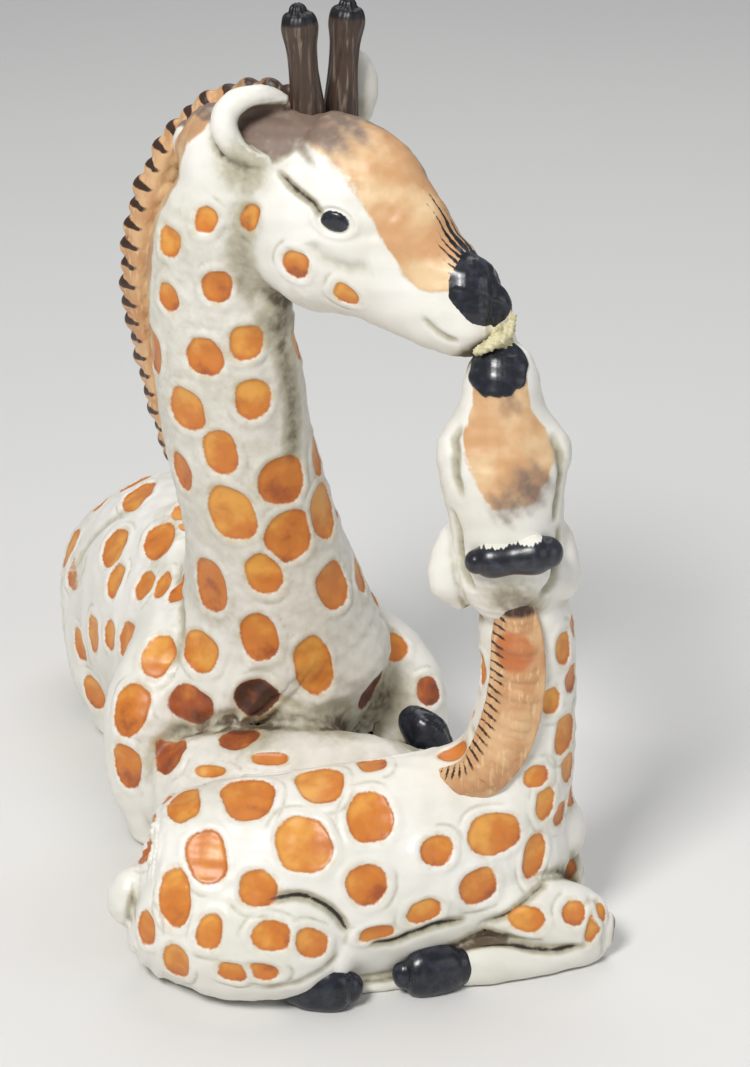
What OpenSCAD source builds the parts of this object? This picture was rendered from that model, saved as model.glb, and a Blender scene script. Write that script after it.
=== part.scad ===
// Giraffe and calf touching noses: a slip-cast, hand-painted ceramic figurine.
// Millimetres, +Z up, resting on z = 0. The front faces -Y, and the origin is
// on the flat base under the calf's body.

/* [Vent holes] */
// Diameter of the vent hole in the base of the mother's body
mother_vent = 18; // [8:1:24]
// Diameter of the vent hole in the base of the calf's body
calf_vent = 11; // [6:1:14]
// Depth of the vent holes
vent_depth = 10; // [5:1:14]

/* [Mother] */
// Thickness of a horn at its narrowest
horn_thickness = 7; // [5:0.5:10]
// Length of a horn from the crown to the knob
horn_length = 29; // [18:1:34]
// Length of an ear from root to tip
ear_length = 20; // [14:1:26]
// Number of tufts along the mane
mane_tufts = 24; // [10:1:40]
// How far the notches between the tufts cut in
mane_notch = 1.6; // [0.4:0.2:2.4]

/* [Calf] */
// Length of the bar that stands for the calf's two horns
horn_bar_length = 20; // [14:1:24]
// Thickness of the calf's horn bar
horn_bar_thickness = 9.5; // [6:0.5:11]
// Length of a hoof
hoof_length = 15; // [10:1:20]
// Height of the clay pad between the calf's hooves
pad_height = 4; // [2:0.5:8]

/* [Hidden] */

// Glaze colours
cream = [0.89, 0.87, 0.84];
brown_glaze = [0.30, 0.21, 0.15];
tan_glaze = [0.72, 0.50, 0.33];
black_glaze = [0.07, 0.07, 0.08];
bare_clay = [0.80, 0.77, 0.66];

// Points round a ring, on large bodies and on small parts
body_ring = 22;
small_ring = 14;
// Rings from one station to the next, on smooth parts and on the tufted mane
steps = 3;
mane_steps = 12;
// Side of the blocks that cut a shape off at a plane
block = 400;
up_z = [0, 0, 1];

// ---- Lofting ---------------------------------------------------------------
// A station is [x, y, z, half width, half height]. The half height runs along
// the part of `up` that is square to the path.

function spline(a, b, c, d, t) = 0.5 * (2*b + (c - a)*t
    + (2*a - 5*b + 4*c - d)*t*t + (3*b - a - 3*c + d)*t*t*t);
function station(s, i) = s[max(0, min(len(s) - 1, i))];
function dense(s, k) = concat([for (i = [0 : len(s) - 2], j = [0 : k - 1])
    spline(station(s, i - 1), s[i], s[i + 1], station(s, i + 2), j / k)], [s[len(s) - 1]]);
function unit(v) = v / norm(v);
function xyz(row) = [row[0], row[1], row[2]];

// A row of tufts: the half height falls away once along each tuft.
function tufted(d, count, notch) = [for (i = [0 : len(d) - 1])
    let (turn = (i / (len(d) - 1)) * count, along = turn - floor(turn))
    [d[i][0], d[i][1], d[i][2], d[i][3], d[i][4] - notch * along]];

// Stations on a straight line from `root` along `heading`, whose rows are
// [share of the length, half width, half height].
function straight(root, heading, length, rows) = [for (r = rows)
    concat(root + heading * length * r[0], [r[1], r[2]])];

module loft_rows(d, up, ring) {
    n = len(d);
    points = [for (i = [0 : n - 1])
        let (t = unit(xyz(d[min(n - 1, i + 1)]) - xyz(d[max(0, i - 1)])),
             u = unit(up - (up * t) * t), w = cross(t, u))
        for (j = [0 : ring - 1]) let (a = 360 * j / ring)
            xyz(d[i]) + d[i][3] * cos(a) * w + d[i][4] * sin(a) * u];
    sides = [for (i = [0 : n - 2], j = [0 : ring - 1]) let (k = (j + 1) % ring)
        each [[i*ring + j, (i + 1)*ring + k, (i + 1)*ring + j],
              [i*ring + j, i*ring + k, (i + 1)*ring + k]]];
    caps = [[for (j = [ring - 1 : -1 : 0]) j],
            [for (j = [0 : ring - 1]) (n - 1)*ring + j]];
    polyhedron(points, concat(sides, caps), convexity = 8);
}
module loft(s, up = up_z, ring = small_ring) loft_rows(dense(s, steps), up, ring);

module block_above(z = 0) translate([-block / 2, -block / 2, z]) cube(block);
module below_ground() block_above(-block);

// ---- Mother: stations --------------------------------------------------------
mother_body = [[-21, 56, 34, 10, 12], [-24, 62, 36, 27, 30], [-32, 82, 36, 34, 41],
    [-43, 110, 36, 36, 42], [-55, 137, 34, 35, 39], [-65, 158, 30, 29, 31],
    [-70, 172, 27, 17, 18], [-72, 179, 25, 6, 7]];
mother_vent_at = [-45, 112];

mother_neck_up = [-1, 0.25, 0.3];
mother_neck_path = [[-26, 76, 40, 22, 26], [-26, 74, 52, 25, 30], [-27, 68, 68, 22, 25],
    [-30, 60, 92, 18, 20.5], [-35, 52, 120, 15.5, 19.5], [-37.5, 45, 146, 13.5, 19],
    [-39, 40, 168, 12, 17.5], [-38, 36, 184, 11.5, 14.5], [-36, 35, 194, 8, 9]];
// The neck is luted on along a plane from the chest up to the withers.
chest_seam = [0, 45, 47];
chest_seam_tilt = 31;

mother_head_up = [0.376, -0.19, 0.9];
mother_head_path = [[-44, 42, 201, 5, 6], [-41, 40, 200.5, 10, 12], [-34, 37, 197.5, 13.5, 17],
    [-26, 34, 194, 15, 20], [-19, 31.5, 190.5, 16, 23], [-11.5, 28, 188, 16.5, 24.5],
    [-4, 24, 185, 16, 24], [3.5, 19, 180.5, 13, 19.5], [11.5, 14.5, 175, 10.5, 15.5],
    [19, 9.5, 171.5, 9, 13.2], [24, 7, 169.8, 8.5, 11.3], [28.5, 5, 171, 6.5, 7],
    [30, 4.2, 171.2, 3.5, 4]];

mother_mane_up = [-1, 0.35, 0.35];
mother_mane_path = [[-37, 43, 210, 2.2, 3], [-47, 46, 202, 3.2, 4.5], [-54.5, 48, 186, 3.2, 5.5],
    [-58.5, 51, 166, 3.2, 6], [-57.5, 56, 146, 3.2, 5.5], [-53.5, 61, 120, 3, 4.5],
    [-48, 71, 98, 3, 4.5], [-43, 84, 83, 2.5, 3.5], [-41, 91, 79, 2, 2]];

right_horn_root = [-15.5, 32, 207];
right_horn_lean = [-0.09, 0, 1];
left_horn_root = [-8.5, 39, 206.5];
left_horn_lean = [0.07, 0.03, 1];
// Along a horn: share of its length, and radius as a share of its thickness
horn_profile = [[-0.15, 0.66], [0.12, 0.61], [0.45, 0.5], [0.68, 0.51], [0.85, 0.63],
    [0.96, 0.54], [1, 0.29]];

right_ear_at = [-29.5, 29, 208];
ear_shares = [0.47, 0.36, 0.45];
ear_cup_offset = [4.5, -7, -0.5];
ear_cup_shares = [0.46, 0.42, 0.34];
left_ear_up = [0.2, -0.9, 0.3];
left_ear_path = [[-10, 41, 203, 4, 4], [-6, 46, 207, 5, 4], [-4, 47, 213, 5, 4],
    [-4, 47, 219, 3.5, 3], [-5, 47, 222, 1.5, 1.5]];

mother_tail_path = [[-68, 172, 44, 4, 4], [-71, 177, 38, 4, 4], [-69, 181, 28, 4, 4],
    [-62, 182, 16, 4, 4], [-52, 180, 8, 4.5, 5], [-44, 176, 6, 4.5, 5.5], [-38, 172, 5, 2, 2.5]];
mother_lap_path = [[-58, 57, 15, 8, 9], [-46, 46, 18, 13, 18], [-22, 40, 20, 17, 20],
    [0, 44, 18, 15, 18], [12, 58, 15, 8, 10]];
mother_right_foreleg_path = [[-46, 80, 56, 8, 8], [-53, 73, 46, 13, 15], [-58, 67, 32, 15, 18],
    [-59, 63, 18, 14.5, 16], [-57, 60, 6, 12, 12], [-56, 59, -5, 11, 11]];
mother_left_foreleg_path = [[-6, 92, 48, 8, 8], [0, 90, 40, 12, 12], [6, 87, 29, 13, 14],
    [8, 84, 17, 12, 13], [7, 81, 6, 10, 11], [6, 80, -5, 9, 10]];
mother_hoof_path = [[4, 76, 30, 3, 4], [8, 73, 28, 5, 6], [13, 71, 25, 5.5, 7], [17, 71, 20, 4, 5]];
mother_right_hind_path = [[-64, 158, 50, 8, 8], [-75, 151, 44, 14, 14], [-79.5, 143, 32, 13, 18],
    [-79, 133, 18, 12, 16], [-75, 124, 8, 10, 12], [-72, 118, -5, 8, 8]];
mother_left_hind_path = [[-44, 158, 48, 8, 8], [-30, 150, 42, 14, 14], [-20, 142, 30, 14, 18],
    [-15, 132, 16, 12, 15], [-14, 122, 7, 9, 12], [-14, 116, -5, 7, 8]];

// ---- Calf: stations ----------------------------------------------------------
calf_body = [[-61, -12, 22, 6, 8], [-54.5, -11, 21, 17, 21], [-40, -9, 22, 23, 28],
    [-18, -6, 23, 24, 29], [5, -1, 24, 23, 29], [26, 5, 26, 20, 28],
    [40, 8, 28, 14, 20], [47, 10, 29, 7, 9]];
calf_vent_at = [-20, -5];

calf_neck_up = [-0.4, -1, 0.1];
calf_neck_path = [[33, 7.5, 34, 13, 14], [34.5, 7, 44, 15, 17], [37, 6, 60, 13, 14],
    [38, 5, 76, 11.5, 12.5], [37, 4, 92, 11.5, 12], [35.5, 3, 104, 9, 9]];

calf_head_up = [0, -1, 0.2];
calf_head_path = [[34, 4, 97, 7, 7], [33.5, 2, 101, 12, 11], [32.5, 0, 110, 13.5, 13.5],
    [31.5, -1, 122, 13.8, 13.5], [30.5, -1, 131, 15, 13], [30.3, 0, 139, 15.2, 11.5],
    [30, 1, 149, 10.3, 9.5], [30, 2, 156, 8.8, 8.5], [30, 3, 161, 6.5, 6], [30, 3.5, 164, 3.5, 3.5]];
calf_ear_up = [0, -1, 0];
calf_right_ear_path = [[24, 1, 119, 3, 3], [20.5, 1, 115, 4.5, 4.5], [19, 0, 109, 5.5, 5],
    [19, 0, 103, 5.5, 4.5], [20.5, 1, 98.5, 3, 3]];
calf_left_ear_path = [[41, 1, 119, 3, 3], [43, 1, 115, 4.5, 4.5], [44, 0, 109, 5, 5],
    [44, 0, 103, 5, 4.5], [42.5, 1, 98.5, 3, 3]];

horn_bar_at = [33, -13, 115];
horn_bar_heading = [1, 0, 0.12];
// Along the bar: share of its length, and radius as a share of its thickness
horn_bar_profile = [[-0.5, 0.25], [-0.44, 0.42], [-0.25, 0.5], [0, 0.48], [0.25, 0.5],
    [0.44, 0.44], [0.5, 0.25]];

calf_mane_up = [-0.3, -1, 0.1];
calf_mane_path = [[34, -8, 100, 4, 3], [34.5, -7.5, 92, 5.5, 3.5], [34.5, -7.5, 78, 6, 3.5],
    [31.5, -8, 64, 6, 3.5], [25.5, -8, 54, 5, 4], [18, -4, 50, 3.5, 3], [12, -2, 50, 2, 2]];
calf_tail_path = [[-50, 4, 38, 4, 4], [-54, 9, 30, 3.5, 3.5], [-54, 12, 20, 3, 3.5],
    [-50, 15, 10, 3, 4], [-44, 18, 5, 2.5, 4], [-40, 20, 4, 1.5, 2]];
calf_forearm_path = [[27, -8, 20, 8, 9], [39, -7, 15, 9, 10], [51, -5, 11, 8.5, 9.5],
    [56.5, -4, 9, 5, 6]];
calf_cannon_path = [[56, -5, 5, 5, 7], [42, -11.5, 5, 5, 6], [26, -16.5, 5, 4.5, 6],
    [18, -18, 5, 3, 4]];
calf_left_forearm_path = [[28, 14, 24, 8, 9], [38, 15, 19, 9, 11], [44, 15, 13, 7, 11],
    [47, 14, 6, 4.5, 8]];
calf_thigh_path = [[-50, -20, 22, 9, 14], [-38, -23, 19, 12, 18], [-26, -25, 17, 11.5, 16],
    [-16, -25, 14, 9.5, 12], [-10, -25, 12, 5, 6]];

// Along a hoof: share of its length, half width and half height
hoof_profile = [[0, 4, 5], [0.2, 5, 6.5], [0.6, 5.5, 7], [0.9, 4.5, 5.5], [1, 2.5, 3]];
fore_hoof_at = [21, -18.5, 5.5];
fore_hoof_heading = [-0.97, -0.25, 0];
hind_hoof_at = [-20, -27, 5.5];
hind_hoof_heading = [1, -0.05, 0];
pad_outline = [[-28, -24], [16, -18], [20, -12], [-28, -12]];
nose_join_at = [29, 1.5, 163.5];
nose_join_radii = [3.6, 3, 3];

// ---- Shapes that meet each other ----------------------------------------------
module mother_torso_form() loft(mother_body, up_z, body_ring);
module mother_neck_form() loft(mother_neck_path, mother_neck_up, body_ring);
module mother_head_form() loft(mother_head_path, mother_head_up, body_ring);
module mother_right_foreleg_form() loft(mother_right_foreleg_path);
module mother_left_foreleg_form() loft(mother_left_foreleg_path);
module mother_hoof_form() loft(mother_hoof_path);
module calf_torso_form() loft(calf_body, up_z, body_ring);
module calf_neck_form() loft(calf_neck_path, calf_neck_up, body_ring);
module calf_head_form() loft(calf_head_path, calf_head_up, body_ring);
module calf_thigh_form() loft(calf_thigh_path);
module calf_right_foreleg_form() {
    loft(calf_forearm_path);
    loft(calf_cannon_path);
}

module above_seam() translate(chest_seam) rotate([chest_seam_tilt, 0, 0]) block_above();

module vent(at, diameter) translate([at[0], at[1], -vent_depth])
    cylinder(d = diameter, h = 2 * vent_depth, $fn = 48);

module horn(root, lean) difference() {
    loft(straight(root, lean, horn_length,
        [for (r = horn_profile) [r[0], r[1] * horn_thickness, r[1] * horn_thickness]]), [0, -1, 0]);
    mother_head_form();
}
module hoof(at, heading) difference() {
    loft(straight(at, heading, hoof_length, hoof_profile));
    below_ground();
}
module folded_leg(path) difference() {
    loft(path);
    mother_torso_form();
    mother_neck_form();
    below_ground();
}

// ---- Sub-parts: mother --------------------------------------------------------
module mother_torso() color(cream) difference() {
    union() {
        mother_torso_form();
        mother_neck_form();
    }
    above_seam();
    below_ground();
    vent(mother_vent_at, mother_vent);
}
module mother_neck() color(cream) difference() {
    intersection() {
        mother_neck_form();
        above_seam();
    }
    mother_head_form();
}
module mother_head() color(cream) mother_head_form();
module mother_right_ear() color(cream) difference() {
    translate(right_ear_at) scale(ear_shares * ear_length) sphere(r = 1, $fn = 28);
    translate(right_ear_at + ear_cup_offset) scale(ear_cup_shares * ear_length)
        sphere(r = 1, $fn = 28);
    mother_head_form();
}
module mother_left_ear() color(cream) difference() {
    loft(left_ear_path, left_ear_up);
    horn(left_horn_root, left_horn_lean);
    mother_head_form();
}
module mother_right_horn() color(brown_glaze) horn(right_horn_root, right_horn_lean);
module mother_left_horn() color(brown_glaze) difference() {
    horn(left_horn_root, left_horn_lean);
    horn(right_horn_root, right_horn_lean);
}
module mother_mane() color(tan_glaze) difference() {
    loft_rows(tufted(dense(mother_mane_path, mane_steps), mane_tufts, mane_notch),
        mother_mane_up, small_ring);
    mother_neck_form();
    mother_head_form();
    mother_torso_form();
}
module mother_tail() color(cream) folded_leg(mother_tail_path);
module mother_right_foreleg() color(cream) folded_leg(mother_right_foreleg_path);
module mother_left_foreleg() color(cream) folded_leg(mother_left_foreleg_path);
module mother_fore_hoof() color(black_glaze) difference() {
    mother_hoof_form();
    mother_torso_form();
    mother_left_foreleg_form();
}
module mother_lap() color(cream) difference() {
    folded_leg(mother_lap_path);
    mother_right_foreleg_form();
    mother_left_foreleg_form();
    mother_hoof_form();
    calf_torso_form();
}
module mother_right_hind_leg() color(cream) folded_leg(mother_right_hind_path);
module mother_left_hind_leg() color(cream) folded_leg(mother_left_hind_path);

// ---- Sub-parts: calf ------------------------------------------------------------
module calf_torso() color(cream) difference() {
    calf_torso_form();
    below_ground();
    vent(calf_vent_at, calf_vent);
}
module calf_neck() color(cream) difference() {
    calf_neck_form();
    calf_torso_form();
    calf_head_form();
}
module calf_head() color(cream) difference() {
    calf_head_form();
    mother_head_form();
}
module calf_ear(path) difference() {
    loft(path, calf_ear_up);
    calf_head_form();
    calf_neck_form();
}
module calf_right_ear() color(cream) calf_ear(calf_right_ear_path);
module calf_left_ear() color(cream) calf_ear(calf_left_ear_path);
module calf_horns() color(black_glaze) difference() {
    loft(straight(horn_bar_at, horn_bar_heading, horn_bar_length,
        [for (r = horn_bar_profile) [r[0], r[1] * horn_bar_thickness, r[1] * horn_bar_thickness]]));
    calf_head_form();
    calf_neck_form();
}
module calf_mane() color(tan_glaze) difference() {
    loft(calf_mane_path, calf_mane_up);
    calf_neck_form();
    calf_head_form();
    calf_torso_form();
}
module calf_tail() color(cream) difference() {
    loft(calf_tail_path);
    calf_torso_form();
    below_ground();
}
module calf_right_foreleg() color(cream) difference() {
    calf_right_foreleg_form();
    calf_torso_form();
    below_ground();
}
module calf_left_foreleg() color(cream) difference() {
    loft(calf_left_forearm_path);
    calf_torso_form();
    calf_neck_form();
    calf_right_foreleg_form();
    below_ground();
}
module calf_right_hind_leg() color(cream) difference() {
    calf_thigh_form();
    calf_torso_form();
    hoof(hind_hoof_at, hind_hoof_heading);
    below_ground();
}
module calf_fore_hoof() color(black_glaze) difference() {
    hoof(fore_hoof_at, fore_hoof_heading);
    calf_torso_form();
    calf_right_foreleg_form();
}
module calf_hind_hoof() color(black_glaze) difference() {
    hoof(hind_hoof_at, hind_hoof_heading);
    calf_torso_form();
}
module calf_pad() color(cream) difference() {
    linear_extrude(pad_height) polygon(pad_outline);
    calf_torso_form();
    calf_thigh_form();
    hoof(fore_hoof_at, fore_hoof_heading);
    hoof(hind_hoof_at, hind_hoof_heading);
    calf_right_foreleg_form();
}
module nose_join() color(bare_clay) difference() {
    translate(nose_join_at) scale(nose_join_radii) sphere(r = 1, $fn = 20);
    mother_head_form();
    calf_head_form();
}

mother_torso();
mother_neck();
mother_head();
mother_right_ear();
mother_left_ear();
mother_right_horn();
mother_left_horn();
mother_mane();
mother_tail();
mother_right_foreleg();
mother_left_foreleg();
mother_fore_hoof();
mother_lap();
mother_right_hind_leg();
mother_left_hind_leg();
calf_torso();
calf_neck();
calf_head();
calf_right_ear();
calf_left_ear();
calf_horns();
calf_mane();
calf_tail();
calf_right_foreleg();
calf_left_foreleg();
calf_right_hind_leg();
calf_fore_hoof();
calf_hind_hoof();
calf_pad();
nose_join();
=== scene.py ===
"""Glazed ceramic figurine of a reclining giraffe touching noses with her calf."""

import logging
import math
from collections.abc import Callable
from dataclasses import dataclass, field
from enum import Enum

import bpy
import numpy as np
import openvdb
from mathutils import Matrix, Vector

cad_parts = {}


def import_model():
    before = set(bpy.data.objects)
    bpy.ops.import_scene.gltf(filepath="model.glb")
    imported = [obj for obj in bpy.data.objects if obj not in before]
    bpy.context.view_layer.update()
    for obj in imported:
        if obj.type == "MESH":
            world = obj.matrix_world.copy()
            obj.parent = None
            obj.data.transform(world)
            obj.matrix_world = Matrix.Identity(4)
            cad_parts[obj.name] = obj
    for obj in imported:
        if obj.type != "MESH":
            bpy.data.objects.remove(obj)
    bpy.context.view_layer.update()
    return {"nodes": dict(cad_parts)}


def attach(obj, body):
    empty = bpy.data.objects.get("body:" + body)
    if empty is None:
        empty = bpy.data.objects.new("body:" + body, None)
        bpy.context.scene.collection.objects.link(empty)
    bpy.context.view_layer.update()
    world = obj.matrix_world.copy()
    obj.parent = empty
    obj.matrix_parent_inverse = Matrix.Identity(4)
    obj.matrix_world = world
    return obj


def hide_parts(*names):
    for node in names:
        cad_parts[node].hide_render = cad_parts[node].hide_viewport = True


log = logging.getLogger("figurine")
Array = np.ndarray
Point = tuple[float, float, float]
Paint = dict[str, Array]
Socket = bpy.types.NodeSocket
Value = Socket | float | tuple
Colour = tuple[float, float, float, float]

MM = 0.001
# Side of a voxel of clay, in millimetres: mother, calf, small parts, and both animals together
MOTHER_VOXEL = 1.5
CALF_VOXEL = 1.1
FINE_VOXEL = 0.5
GROUP_VOXEL = 2.0
# Highest corner of the clay of both animals together
GROUP_TOP = (62.0, 192.0, 236.0)
VENT_DEPTH = 10.0
# Size of the low ridge under the tufts, against theirs: along, across and up
RIDGE_SCALE = (0.75, 1.25, 0.55)
# Height of the relief that only bends the light, in metres
BUMP_HEIGHT = 0.0004
# Paint channels that hold a distance to an edge, and the distance that stands for none near
EDGES = ("spot", "tan", "ink")
FAR = 9.0
# How far from a surface its distance is still worked out
REACH = 8.0
SEED = 7
# Direction towards which every patch is painted darker: painted shade on its lower right
LOW_RIGHT = np.array([0.55, 0.0, -0.83])


# ---- Small maths ----

def unit(v: Array) -> Array:
    """Vectors scaled to length one."""
    v = np.asarray(v, float)
    return v / np.maximum(np.linalg.norm(v, axis=-1, keepdims=True), 1e-9)


def dots(a: Array, b: Array) -> Array:
    """Dot products, row by row."""
    return np.einsum("ij,ij->i", a, b)


def lengths(rows: Array) -> Array:
    """Length of each row."""
    return np.linalg.norm(rows, axis=1)


def in_box(points: Array, low: Array, high: Array, margin: float) -> Array:
    """Numbers of the points that lie in a box widened by a margin."""
    return np.flatnonzero(np.all((points > low - margin) & (points < high + margin), axis=1))


def ramp(x: Array, low: float, high: float) -> Array:
    """Smooth step from 0 at `low` to 1 at `high`."""
    t = np.clip((x - low) / (high - low), 0.0, 1.0)
    return t * t * (3.0 - 2.0 * t)


def merge(a: Array, b: Array, soft: float) -> Array:
    """Union of two distance fields, rounded over `soft` millimetres."""
    h = np.maximum(soft - np.abs(a - b), 0.0) / soft
    return np.minimum(a, b) - h * h * h * soft / 6.0


def carve(a: Array, b: Array, soft: float) -> Array:
    """Distance field `a` with `b` cut out of it, its rim rounded over `soft`."""
    return -merge(-a, b, soft)


def spline(rows: Array, steps: int) -> Array:
    """Given rows with smooth rows filled in between them.

    Args:
        rows: Rows of numbers, one per station.
        steps: Rows from one station to the next.

    Returns:
        The filled-in rows, through every station.
    """
    rows = np.asarray(rows, float)
    last = len(rows) - 1
    out = []
    for i in range(last):
        a, b, c, d = rows[max(i - 1, 0)], rows[i], rows[i + 1], rows[min(i + 2, last)]
        for j in range(steps):
            t = j / steps
            out.append(0.5 * (2 * b + (c - a) * t + (2 * a - 5 * b + 4 * c - d) * t * t
                              + (3 * b - a - 3 * c + d) * t ** 3))
    out.append(rows[last])
    return np.array(out)


def nearest(points: Array, path: Array) -> tuple[Array, Array, Array]:
    """Closest place on a polyline to each point.

    Args:
        points: Points, one a row.
        path: The polyline's points in order.

    Returns:
        The segment's number, the share along it, and the distance.
    """
    best = np.full(len(points), 1e18)
    index = np.zeros(len(points), np.int32)
    share = np.zeros(len(points))
    for i in range(len(path) - 1):
        step = path[i + 1] - path[i]
        away = points - path[i]
        h = np.clip(away @ step / (step @ step), 0.0, 1.0)
        gap = away - h[:, None] * step
        square = dots(gap, gap)
        near = square < best
        best[near] = square[near]
        index[near] = i
        share[near] = h[near]
    return index, share, np.sqrt(best)


# ---- Forms ----

@dataclass
class Loft:
    """A limb or body: elliptical sections strung along a smooth path.

    Attributes:
        stations: Rows of x, y, z, half width and half height, in millimetres.
        up: Direction that the half heights lean towards.
        steps: Sections from one station to the next.
    """

    stations: list[list[float]]
    up: Point = (0.0, 0.0, 1.0)
    steps: int = 4

    def __post_init__(self) -> None:
        """Works out the sections and the directions across them."""
        rows = spline(self.stations, self.steps)
        self.centre, self.radii = rows[:, :3], np.maximum(rows[:, 3:5], 0.6)
        self.along = unit(np.gradient(self.centre, axis=0))
        lean = np.asarray(self.up, float)
        self.high = unit(lean - (self.along @ lean)[:, None] * self.along)
        self.side = np.cross(self.along, self.high)

    def bounds(self) -> tuple[Array, Array]:
        """Lowest and highest corners of a box round the whole form."""
        size = self.radii.max(axis=1)[:, None]
        return (self.centre - size).min(axis=0), (self.centre + size).max(axis=0)

    def between(self, table: Array, index: Array, share: Array) -> Array:
        """Rows of a table at places part-way between its rows."""
        return table[index] * (1 - share[:, None]) + table[index + 1] * share[:, None]

    def local(self, points: Array) -> tuple[Array, Array, Array]:
        """Places points on the form.

        Args:
            points: Points, one a row.

        Returns:
            Share of the way along (0 to 1), angle round in degrees, from the
            side towards the top, and distance to the surface.
        """
        index, share, _ = nearest(points, self.centre)
        away = points - self.between(self.centre, index, share)
        radii = self.between(self.radii, index, share)
        across = dots(away, self.between(self.side, index, share))
        above = dots(away, self.between(self.high, index, share))
        beyond = dots(away, self.between(self.along, index, share))
        size = np.stack([radii[:, 0], radii[:, 1], radii.min(axis=1)], axis=1)
        offset = np.stack([across, above, beyond], axis=1) / size
        level = lengths(offset)
        slope = lengths(offset / size)
        gap = np.where(level < 0.05, -size.min(axis=1), level * (level - 1) / np.maximum(slope, 1e-6))
        angle = np.degrees(np.arctan2(above / radii[:, 1], across / radii[:, 0]))
        return (index + share) / (len(self.centre) - 1), angle, gap

    def distance(self, points: Array) -> Array:
        """Signed distance from each point to the form's surface."""
        return self.local(points)[2]

    def place(self, along: float, angle: float) -> tuple[Array, Array, Array]:
        """A point on the surface.

        Args:
            along: Share of the way along the form, 0 to 1.
            angle: Degrees round, from the side towards the top.

        Returns:
            The point, the direction along the form, and the direction round it.
        """
        spot = along * (len(self.centre) - 1)
        i = np.array([min(int(spot), len(self.centre) - 2)])
        h = np.array([spot - i[0]])
        side, high, radii = (self.between(t, i, h)[0] for t in (self.side, self.high, self.radii))
        c, s = math.cos(math.radians(angle)), math.sin(math.radians(angle))
        point = self.between(self.centre, i, h)[0] + radii[0] * c * side + radii[1] * s * high
        return point, unit(self.between(self.along, i, h)[0]), unit(radii[1] * c * high - radii[0] * s * side)


def limb(stations: list[list[float]], up: Point = (0.0, 0.0, 1.0)) -> Loft:
    """A dataclass field that holds a loft."""
    return field(default_factory=lambda: Loft(stations, up))


@dataclass
class Cup:
    """An ear: an ellipsoid with another scooped out of it.

    Attributes:
        at: Centre of the ear.
        radii: Its half sizes along X, Y and Z.
        scoop_at: Centre of the hollow.
        scoop_radii: The hollow's half sizes.
    """

    at: Point
    radii: Point
    scoop_at: Point
    scoop_radii: Point

    def bounds(self) -> tuple[Array, Array]:
        """Lowest and highest corners of a box round the ear."""
        return np.array(self.at) - self.radii, np.array(self.at) + self.radii

    def _ball(self, points: Array, at: Point, radii: Point) -> Array:
        """Signed distance to one ellipsoid."""
        offset = (points - at) / radii
        level = lengths(offset)
        slope = lengths(offset / radii)
        return level * (level - 1) / np.maximum(slope, 1e-6)

    def distance(self, points: Array) -> Array:
        """Signed distance from each point to the ear's surface."""
        return carve(self._ball(points, self.at, self.radii),
                     self._ball(points, self.scoop_at, self.scoop_radii), 1.5)


# ---- Clay: a field of distances, and the surface taken from it ----

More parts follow.
